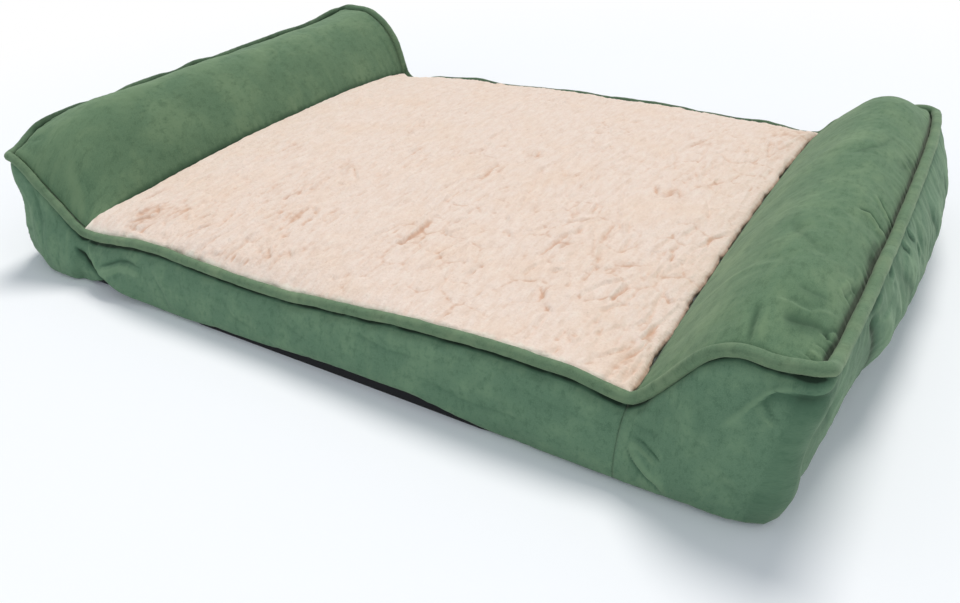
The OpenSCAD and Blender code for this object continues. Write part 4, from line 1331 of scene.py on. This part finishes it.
LEFT_FOLDS = [
    (AT_FRONT, [(-470, 118), (-452, 80), (-446, 40)], 8.0, 1.6, 0.6),
    (AT_FRONT, [(-420, 74), (-414, 44), (-420, 14)], 7.0, 1.4, 0.6),
    # This crease also paints a dark shade line along the front band's free edge.
    (AT_FRONT, [(-387, 49), (-374, 37), (-364, 30), (-353, 22), (-338, 14), (-322, 7)], 3.4, 7.0, 0.1),
    (AT_END, [(-300, 150), (-290, 90), (-294, 30)], 9.0, 2.0, 0.6),
    (AT_END, [(-120, 150), (-100, 90), (-96, 40)], 9.0, 2.2, 0.6),
    (AT_END, [(80, 150), (96, 100), (92, 40)], 9.0, 2.2, 0.6),
    (AT_END, [(240, 160), (250, 100), (262, 40)], 9.0, 2.2, 0.6),
]


def wall_base(start, end, foot, tail, u, v):
    """A wall without its folds: place, way out, place along the piping, height, and to its edges."""
    s = mix(start, end + tail(v), u)
    plan_x, plan_y, rim, nx, ny, in_x, in_y, lean, bulge, turn = rim_at(s)
    top = rim - SEAM_DROP
    low = foot(plan_x, plan_y)
    z = mix(low, top, np.clip((v - HEM_SHARE) / (1 - HEM_SHARE), 0, 1))
    w = share_down(rim, z)
    turned = turn * turned_under(w)
    rounded = FOOT_R * (1 - np.sqrt(1 - np.clip(1 - (z - low) / FOOT_R, 0, 1) ** 2))
    hem = HEM_DEPTH * np.clip(1 - v / HEM_SHARE, 0, 1)
    tuck = mix(0.4, 6.6, ny * ny) * hump(top - z, mix(3, 5.5, ny * ny))
    out = lean * w + bulge * np.sin(np.pi * w) - turned + CLOTH_T / 2 - rounded - hem - tuck
    way_in = (LOWER_CORNER_R - CORNER_R) * w
    x = plan_x + nx * out + in_x * way_in
    y = plan_y + ny * out + in_y * way_in
    return x, y, z, nx, ny, s, top - z, z - low, plan_x, plan_y, hem


def wall_shape(name, start, end, foot, tail, folds_in, seed, extra):
    """A wall along the piping from start to end, with its lower edge at foot(x, y)."""

    def shape(u, v):
        x, y, z, nx, ny, s, below, above, plan_x, plan_y, hem = wall_base(start, end, foot, tail, u, v)
        shown = (hem == 0) * np.clip(above / 4, 0, 1)
        calm = np.clip(np.minimum(below, above) / 22, 0, 1)
        waves = 1.5 * lumps(s, z, 80, 60, seed) + 0.6 * lumps(s + 0.5 * z, z, 30, 22, seed + 3)
        waves = waves + 0.3 * lumps(s, z, 9, 9, seed + 6)
        folds = puckers(s, below, 12, 0.9, 11, seed + 5) + puckers(s, above, 17, 0.7, 10, seed + 7)
        front = np.clip(-plan_y / 60, 0, 1)
        run = plan_x + np.sign(plan_x) * np.maximum(plan_y + HALF_W, 0)
        side = np.clip((np.abs(plan_x) - HALF_L + 20) / 10, 0, 1)
        for face, points, width, deep, lip in folds_in:
            if face == AT_FRONT:
                folds = folds + front * crease(run, z, points, width, deep, lip)
            elif face == OVER_FRONT:
                folds = folds + front * fold_over(run, z, points, width, deep, lip)
            else:
                folds = folds + side * crease(plan_y, z, points, width, deep, lip)
        moved = move_at(name, u, v)
        out = (waves * calm + folds) * shown + extra(run, z)
        # Painted shade in a dark line under the piping on the front and back and over the whole right end
        # wall; lighter on ridges, bulges and where the settled cloth moved out, darker in creases.
        shade = ny * ny * (3.4 + 1.2 * lumps(s, z * 0, 26, 1, seed + 8)) * hump(below - 2.6, 1.9)
        shade = shade + 0.85 * side * (plan_x > 0)
        crumple_shading = 0.05 * (moved[:, 0] * nx + moved[:, 1] * ny)
        shade_and_tint = 0.7 * folds * shown + 0.12 * waves * calm + crumple_shading - shade
        return (x + nx * out + moved[:, 0], y + ny * out + moved[:, 1], z + moved[:, 2]), shade_and_tint, (s, z)

    return shape


def level_foot(x, y):
    return np.full(np.shape(x), FLOOR_T - CLOTH_T + EDGE_GAP)


def front_foot(x, y):
    return FRONT_FOOT(x)


def right_foot(x, y):
    return level_foot(x, y) + 1.5 * hump(np.hypot(x - 500, y + 345), 60)


def plain_end(v):
    return 0 * v


def behind_band(run, z):
    """The left wall drawn in where the front band's free edge stands off it."""
    seam_x = -381 - 13 * (55 - z) / 44
    back = np.clip((run - seam_x) / 14, 0, 1)
    corner = hump(run + 505, 60) * LEFT_CORNER_SWELL(z)
    return corner - 6.5 * back * back * (3 - 2 * back)


def band_flare(run, z):
    """The front band's free lower corner, which stands off towards the front."""
    return 8 * hump(run + 305, 42) * np.clip(1 - z / 60, 0, 1)


def right_shoulder(run, z):
    """The right wall's fullness round the corner below the piping, and its hollow behind it."""
    fullness = 9 * hump(run - 516, 34) * hump(z - 126, 26)
    corner = 5 * hump(run - 510, 26) * smooth_step((42 - z) / 42)
    return fullness - corner - 8 * hump(run - 640, 95) * smooth_step((125 - z) / 80)


BAND_START = rim_mark(-385, -HALF_W) - RIM_LENGTH
WALLS = [
    ("front_wall", "front_band", BAND_START, FRONT_RIGHT - HALF_GAP, front_foot, plain_end,
     BAND_FOLDS, 101.0, 270, band_flare),
    ("right_wall", "right_end_wrap", FRONT_RIGHT + HALF_GAP, BACK_RIGHT - HALF_GAP, right_foot, plain_end,
     RIGHT_FOLDS, 113.0, 380, right_shoulder),
    ("left_wall", "left_end_wrap", BACK_LEFT + HALF_GAP, RIM_LENGTH, level_foot, CUT_BACK,
     LEFT_FOLDS, 127.0, 380, behind_band),
]


def walls():
    for name, replaced, start, end, foot, tail, folds_in, seed, across, extra in WALLS:
        shape = wall_shape(name, start, end, foot, tail, folds_in, seed, extra)
        piece = grid_piece(name, across, WALL_ROWS, shape)
        thicken(piece, CLOTH_T)
        finish(piece, WALL_GREEN_LIGHTENED, "bed", [replaced])


def back_wall(name, low, high, replaced, seed):
    """Half of the back wall, above or below the zip, hemmed along the slot."""

    def shape(u, v):
        s = mix(BACK_RIGHT + HALF_GAP, BACK_LEFT - HALF_GAP, u)
        x, y, rim = rim_at(s)[:3]
        top = rim - SEAM_DROP if high is None else np.full(u.shape, float(high))
        z = mix(low, top, v)
        reach = np.clip((z - ZIP_Z - LEAN_START) / (rim - ZIP_Z - LEAN_START), 0, 1)
        out = mix(ZIP_WALL_Y, y, reach) + MID_BULGE * np.sin(np.pi * reach)
        out = out - FRONT_TURN * np.clip(1 - z / BACK_TURN_H, 0, 1) ** 2 + CLOTH_T / 2
        if high is None:
            folds = puckers(s, top - z, 12, 1.2, 12, seed)
            out = out - 3.4 * hump(top - z, 3.2)
        else:
            folds = puckers(s, z, 17, 0.8, 9, seed + 2)
        calm = np.clip(np.minimum(top - z, z - low) / 8, 0, 1)
        waves = (0.9 * lumps(s, z, 60, 30, seed + 4) + 0.3 * lumps(s, z, 9, 9, seed + 6)) * calm
        # The cloth's shading is painted: lighter on ridges and bulges, darker in creases.
        return (x, out + folds + waves, z), folds + 0.4 * waves, (s, z)

    piece = grid_piece(name, *BACK_WALL_GRID, shape)
    thicken(piece, CLOTH_T)
    finish(piece, WALL_GREEN_LIGHTENED, "bed", [replaced])


# The underside, with the strip of it that shows below the front band

LIP_SHARE = 0.06
UNDERSIDE_GRID = (240, 120)
UNDERSIDE_INSET = 4
UNDERSIDE_CORNER_R = 46
UNDERSIDE_PAST_BACK = 8


def front_surface(x, z):
    """How far forward the front band lies at x and height z."""
    share = between_seams(x)
    rim = FRONT_RIM(x)
    w = share_down(rim, z)
    turned = FRONT_TURN * turned_under(w)
    out = mix(SEAM_LEAN, MID_LEAN, share) * w + mix(ARCH_BULGE, MID_BULGE, share) * np.sin(np.pi * w)
    return front_y(x) - out + turned


def underside_shape(u, v):
    x = mix(-HALF_L + END_TURN[0] + UNDERSIDE_INSET, HALF_L - END_TURN[1] - UNDERSIDE_INSET, u)
    half_x = HALF_L - UNDERSIDE_INSET - np.where(x < 0, END_TURN[0], END_TURN[1])
    corner = UNDERSIDE_CORNER_R
    cut = corner - np.sqrt(np.maximum(0, corner ** 2 - np.maximum(0, np.abs(x) - half_x + corner) ** 2))
    shown = smooth_step((x + 205) / 50) * smooth_step((275 - x) / 50)
    slit = smooth_step((x + 380) / 10) * smooth_step((-262 - x) / 20)
    lip_y = mix(-HALF_W - 6 + cut, front_surface(x, 8.0) + 4.4, shown)
    lip_y = mix(lip_y, -363, slit)
    lip_top = mix(mix(3.2, FRONT_FOOT(x) + 6, shown), 34 - 0.2 * np.maximum(0, x + 340), slit)
    up = np.clip(1 - v / LIP_SHARE, 0, 1)
    along = np.clip((v - LIP_SHARE) / (1 - LIP_SHARE), 0, 1)
    back = HALF_W + UNDERSIDE_PAST_BACK - cut
    y = mix(lip_y, back, along)
    edge = np.minimum(np.minimum(y - lip_y, back - y), half_x - np.abs(x))
    raised = 2.4 * hump(edge, 12) * (1 - np.maximum(shown, slit) * (along < 0.3))
    raised = raised + 2.5 * hump(np.hypot(x - 470, y + 350), 50)
    z = 0.5 + raised + (lip_top - 0.5 - raised) * up
    y = y - 1.2 * up * shown + 2 * up * slit
    shift_x, shift_y = plan_shift(x, y)
    return (x + shift_x, y + shift_y, z), np.zeros(u.shape), (x, y)


def underside():
    piece = grid_piece("underside_cloth", *UNDERSIDE_GRID, underside_shape)
    thicken(piece, UNDERSIDE_T)
    finish(piece, UNDERSIDE, "bed", ["bottom_panel"])


# The piping and its cord

PIPING_STEP = 3.0
CORD_STEP = 6.0
PIPING_UNEVENNESS = 0.05
PIPING_ROUNDNESS = 6


def tube_mesh(name, middle, radius, roundness, closed):
    """A tube round a line of points in millimetres, joined into a ring or capped at its ends."""
    curve = bpy.data.curves.new(name + "_line", "CURVE")
    curve.dimensions = "3D"
    curve.bevel_depth = radius * MM
    curve.bevel_resolution = roundness
    curve.use_fill_caps = not closed
    line = curve.splines.new("POLY")
    line.points.add(len(middle) - 1)
    line.use_cyclic_u = closed
    line.points.foreach_set("co", np.append(middle * MM, np.ones((len(middle), 1)), 1).ravel())
    holder = bpy.data.objects.new(name + "_line", curve)
    mesh = bpy.data.meshes.new_from_object(holder)
    bpy.data.objects.remove(holder)
    bpy.data.curves.remove(curve)
    mesh.name = name
    return mesh


def tube_along_rim(name, radius, step, unevenness):
    """A tube along the piping's line, a little uneven as sewn cloth is."""
    steps = int(RIM_LENGTH / step)
    s = np.arange(steps) * RIM_LENGTH / steps
    middle = np.stack(rim_at(s)[:3], -1)
    mesh = tube_mesh(name, middle, radius, PIPING_ROUNDNESS, True)
    ring = np.repeat(np.arange(steps), len(mesh.vertices) // steps)
    spoke = corners(mesh) / MM - middle[ring]
    turn = np.degrees(np.arctan2(spoke[:, 2], np.hypot(spoke[:, 0], spoke[:, 1])))
    uneven = lumps(s[ring], turn, 22, 70, 4.4) + 0.8 * lumps(s[ring], turn, 8, 90, 8.8)
    places = middle[ring] + spoke * (1 + unevenness * uneven)[:, None]
    place_corners(mesh, places)
    # Painted shade over the piping at the far left end and along the back, and lighter on its lumps.
    far_left = smooth_step((-places[:, 0] - 480) / 15) * smooth_step((places[:, 1] + 320) / 30)
    far_back = smooth_step((places[:, 1] - 335) / 15) * (np.abs(places[:, 0]) < SEAM_X)
    shade_and_tint = 0.5 * uneven - 1.7 * np.maximum(far_left, far_back)
    mark_cloth(mesh, shade_and_tint, (s[ring], turn * 0.1))
    return whole(name, mesh)


def piping():
    cover = tube_along_rim("piping", PIPING_R, PIPING_STEP, PIPING_UNEVENNESS)
    finish(cover, PIPING_GREEN, "bed", ["top_welt"])
    cord = tube_along_rim("piping_cord", CORD_R, CORD_STEP, 0.0)
    finish(cord, CORD, "bed", ["welt_cord"])


# Inner layers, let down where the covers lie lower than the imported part

FRONT_INNER_Y = -359
# How far each layer stays below the covers
FOAM_DROP = 14.0
WADDING_DROP = 3.0
BACKING_DROP = 11.0
BAG_DROP = 9.0
FIBRE_DROP = 11.0
DIVIDER_DROP = 9.0


def skin_height(x, y):
    side = (x > 0).astype(int)
    tops = np.where(side == 1, bolster_height(1, np.abs(x), y), bolster_height(0, np.abs(x), y))
    return np.where(np.abs(x) < SEAM_X, bed_height(x, y), tops)


def fitted(name, replaced, material, clearance):
    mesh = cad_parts[replaced].data.copy()
    mesh.name = name
    mesh.materials.clear()
    bm = bmesh.new()
    bm.from_mesh(mesh)
    bmesh.ops.remove_doubles(bm, verts=bm.verts, dist=0.01 * MM)
    bm.to_mesh(mesh)
    bm.free()
    x, y, z = corners(mesh).T / MM
    edge = np.minimum(HALF_W - np.abs(y), HALF_L - np.abs(x))
    z = np.minimum(z, skin_height(x, y) - clearance - 6 * hump(edge, 9))
    limit = np.where(x > 0, end_wall(1, y, z) - 11 * hump(y + 225, 130), end_wall(0, y, z))
    limit = limit - CLOTH_T - 4 - 6 * hump(HALF_W - np.abs(y), 35)
    x = np.sign(x) * np.minimum(np.abs(x), limit)
    y = np.maximum(y, FRONT_INNER_Y)
    shift_x, shift_y = plan_shift(x, y)
    place_corners(mesh, np.stack([x + shift_x, y + shift_y, z], -1))
    piece = whole(name, mesh)
    finish(piece, material, "bed", [replaced])
    return piece


def inner_layers():
    fitted("foam_slab", "mattress_foam", FOAM, FOAM_DROP)
    fitted("wadding_layer", "quilt_wadding", WADDING, WADDING_DROP)
    backing = fitted("backing_layer", "quilt_backing", LINING, BACKING_DROP)
    for side in ("left", "right"):
        fitted(side + "_bag", side + "_bolster_bag", LINING, BAG_DROP)
        fitted(side + "_fibre", side + "_bolster_fibre", WADDING, FIBRE_DROP)
        divider = fitted(side + "_divider_cloth", side + "_divider", LINING, DIVIDER_DROP)


# The zip's coils, wound from one thread each

def zip_coil(name, replaced):
    """A helix along a packed coil, wide enough to mesh with the other one."""
    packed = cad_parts[replaced].data
    places = corners(packed) / MM
    low, high = places.min(0), places.max(0)
    middle = (low + high) / 2
    radius = (high[1] - low[1]) / 2 - COIL_WIRE_R
    reach = abs(middle[2] - ZIP_Z) + COIL_MESH - COIL_WIRE_R
    ahead = COIL_PITCH / 2 if middle[2] < ZIP_Z else 0
    turns = int((high[0] - low[0]) / COIL_PITCH)
    turn = np.linspace(0, 2 * np.pi * turns, turns * COIL_TURN_POINTS + 1)
    x = low[0] + ahead + (COIL_PITCH * turn / (2 * np.pi)) * (1 - ahead / (high[0] - low[0]))
    thread = np.stack([x, middle[1] + radius * np.cos(turn), middle[2] + reach * np.sin(turn)], -1)
    mesh = tube_mesh(name, thread, COIL_WIRE_R, COIL_ROUNDNESS, False)
    finish(whole(name, mesh), COIL, "bed", [replaced])


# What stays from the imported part

def keep(name, material):
    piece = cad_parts[name]
    piece.data.materials.clear()
    piece.data.materials.append(material)


def kept_pieces():
    for name in ("zip_tape_upper", "zip_tape_lower"):
        keep(name, TAPE)
    for name in ("zip_stop_closed", "zip_stop_open", "zip_slider", "zip_pull"):
        keep(name, ZIP_METAL)


# Camera, light and floor

# The photograph's lens, and its viewpoint with the camera's right, up and back
LENS = 31.1
LENS_SHIFT = (0.0533, 0.0113)
CAMERA_RIGHT = (0.8317, 0.5527, -0.0522)
CAMERA_UP = (-0.2526, 0.4604, 0.851)
CAMERA_BACK = (0.4944, -0.6946, 0.5225)
CAMERA_PLACE = (0.5515, -0.9028, 0.5145)
# The way to each lamp, its strength, how many degrees wide it looks, and its colour
LAMPS = [
    ("key", (-0.12, 0.54, 1.0), 1.92, 22, (1.0, 0.965, 0.92)),
    ("front_fill", (0.1, -1.0, 0.35), 0.66, 60, (0.96, 0.99, 1.0)),
    ("right_fill", (0.8, -0.1, 1.0), 0.3, 60, (0.98, 0.99, 1.0)),
]
# The floor's half size, how far it lies below the bed, and where it fades to white, in metres
FLOOR_HALF = 6
FLOOR_DROP = 0.0002
FLOOR_FADE = (0.9, 1.8)


def camera():
    data = bpy.data.cameras.new("camera")
    data.sensor_width = 36
    data.lens = LENS
    data.shift_x, data.shift_y = LENS_SHIFT
    data.clip_start = 0.01
    holder = bpy.data.objects.new("camera", data)
    axes = zip(CAMERA_RIGHT, CAMERA_UP, CAMERA_BACK, CAMERA_PLACE)
    holder.matrix_world = Matrix([*axes, (0, 0, 0, 1)])
    bpy.context.scene.collection.objects.link(holder)
    bpy.context.scene.camera = holder


def lamp(name, towards, strength, spread, colour):
    """Even light from one side of the studio, softened as by a lamp that is spread degrees wide."""
    data = bpy.data.lights.new(name, "SUN")
    data.energy = strength
    data.angle = math.radians(spread)
    data.color = colour
    holder = bpy.data.objects.new(name, data)
    turn = Vector(towards).to_track_quat("Z", "Y").to_matrix().to_4x4()
    holder.matrix_world = Matrix.Translation(Vector(towards)) @ turn
    bpy.context.scene.collection.objects.link(holder)


def seen_directly(tree):
    """One for rays from the camera, off gloss or through glass, and nothing for others."""
    path = node(tree, "LightPath")
    direct = maths(tree, "MAXIMUM", path.outputs["Is Camera Ray"], path.outputs["Is Glossy Ray"])
    return maths(tree, "MAXIMUM", direct, path.outputs["Is Transmission Ray"])


def surroundings():
    world = bpy.data.worlds.new("studio")
    bpy.context.scene.world = world
    world.use_nodes = True
    tree = world.node_tree
    tree.nodes.clear()
    light = node(tree, "Background", {"Color": (0.88, 0.94, 1.0, 1), "Strength": 0.4})
    white = node(tree, "Background", {"Color": (1, 1, 1, 1), "Strength": 1.0})
    choice = node(tree, "MixShader", {
        0: seen_directly(tree), 1: light.outputs[0], 2: white.outputs[0],
    })
    out = node(tree, "OutputWorld")
    tree.links.new(choice.outputs[0], out.inputs["Surface"])


def floor():
    mesh = bpy.data.meshes.new("floor")
    bm = bmesh.new()
    bmesh.ops.create_grid(bm, x_segments=1, y_segments=1, size=FLOOR_HALF)
    bmesh.ops.translate(bm, verts=bm.verts, vec=(0, 0, -FLOOR_DROP))
    bm.to_mesh(mesh)
    bm.free()
    piece = bpy.data.objects.new("floor", mesh)
    bpy.context.scene.collection.objects.link(piece)
    material = bpy.data.materials.new("floor")
    material.use_nodes = True
    tree = material.node_tree
    tree.nodes.clear()
    plain = node(tree, "BsdfDiffuse", {"Color": (0.8, 0.8, 0.8, 1)})
    lit = node(tree, "BsdfDiffuse", {"Color": (0.925, 0.94, 0.965, 1)})
    glow = node(tree, "Emission", {"Color": (0.6, 0.8, 1.3, 1), "Strength": 0.02})
    bright = node(tree, "AddShader", {0: lit.outputs[0], 1: glow.outputs[0]})
    white = node(tree, "Emission", {"Color": (1, 1, 1, 1), "Strength": 1.0})
    place = node(tree, "TexCoord").outputs["Object"]
    away = node(tree, "VectorMath", {0: place}, operation="LENGTH").outputs["Value"]
    seen = node(tree, "MixShader", {
        0: ramp(tree, away, *FLOOR_FADE), 1: bright.outputs[0], 2: white.outputs[0],
    })
    choice = node(tree, "MixShader", {
        0: seen_directly(tree), 1: plain.outputs[0], 2: seen.outputs[0],
    })
    out = node(tree, "OutputMaterial")
    tree.links.new(choice.outputs[0], out.inputs["Surface"])
    mesh.materials.append(material)


camera()
surroundings()
floor()
for one in LAMPS:
    lamp(*one)
bpy.context.scene.view_settings.view_transform = "Standard"

MOVES = settled([
    ("left_top", *SETTLE_TOP_GRID, lambda u, v: bolster_base(0, u, v), TOP_SLACK, SETTLE_PUSH),
    ("right_top", *SETTLE_TOP_GRID, lambda u, v: bolster_base(1, u, v), TOP_SLACK, SETTLE_PUSH),
] + [
    (name, int(abs(end - start) / SETTLE_WALL_STEP), SETTLE_WALL_ROWS,
     lambda u, v, a=start, b=end, f=foot, c=tail: wall_base(a, b, f, c, u, v), WALL_SLACK, SETTLE_PUSH)
    for name, _, start, end, foot, tail, *_ in WALLS
])
sleep_cover()
bolster_top(0)
bolster_top(1)
walls()
underside()
inner_layers()
back_wall("back_wall_upper", ZIP_Z + SLOT_H / 2, None, "back_band_upper", 211.0)
back_wall("back_wall_lower", FLOOR_T + EDGE_GAP, ZIP_Z - SLOT_H / 2, "back_band_lower", 221.0)
piping()
zip_coil("upper_coil", "zip_coil_upper")
zip_coil("lower_coil", "zip_coil_lower")
kept_pieces()
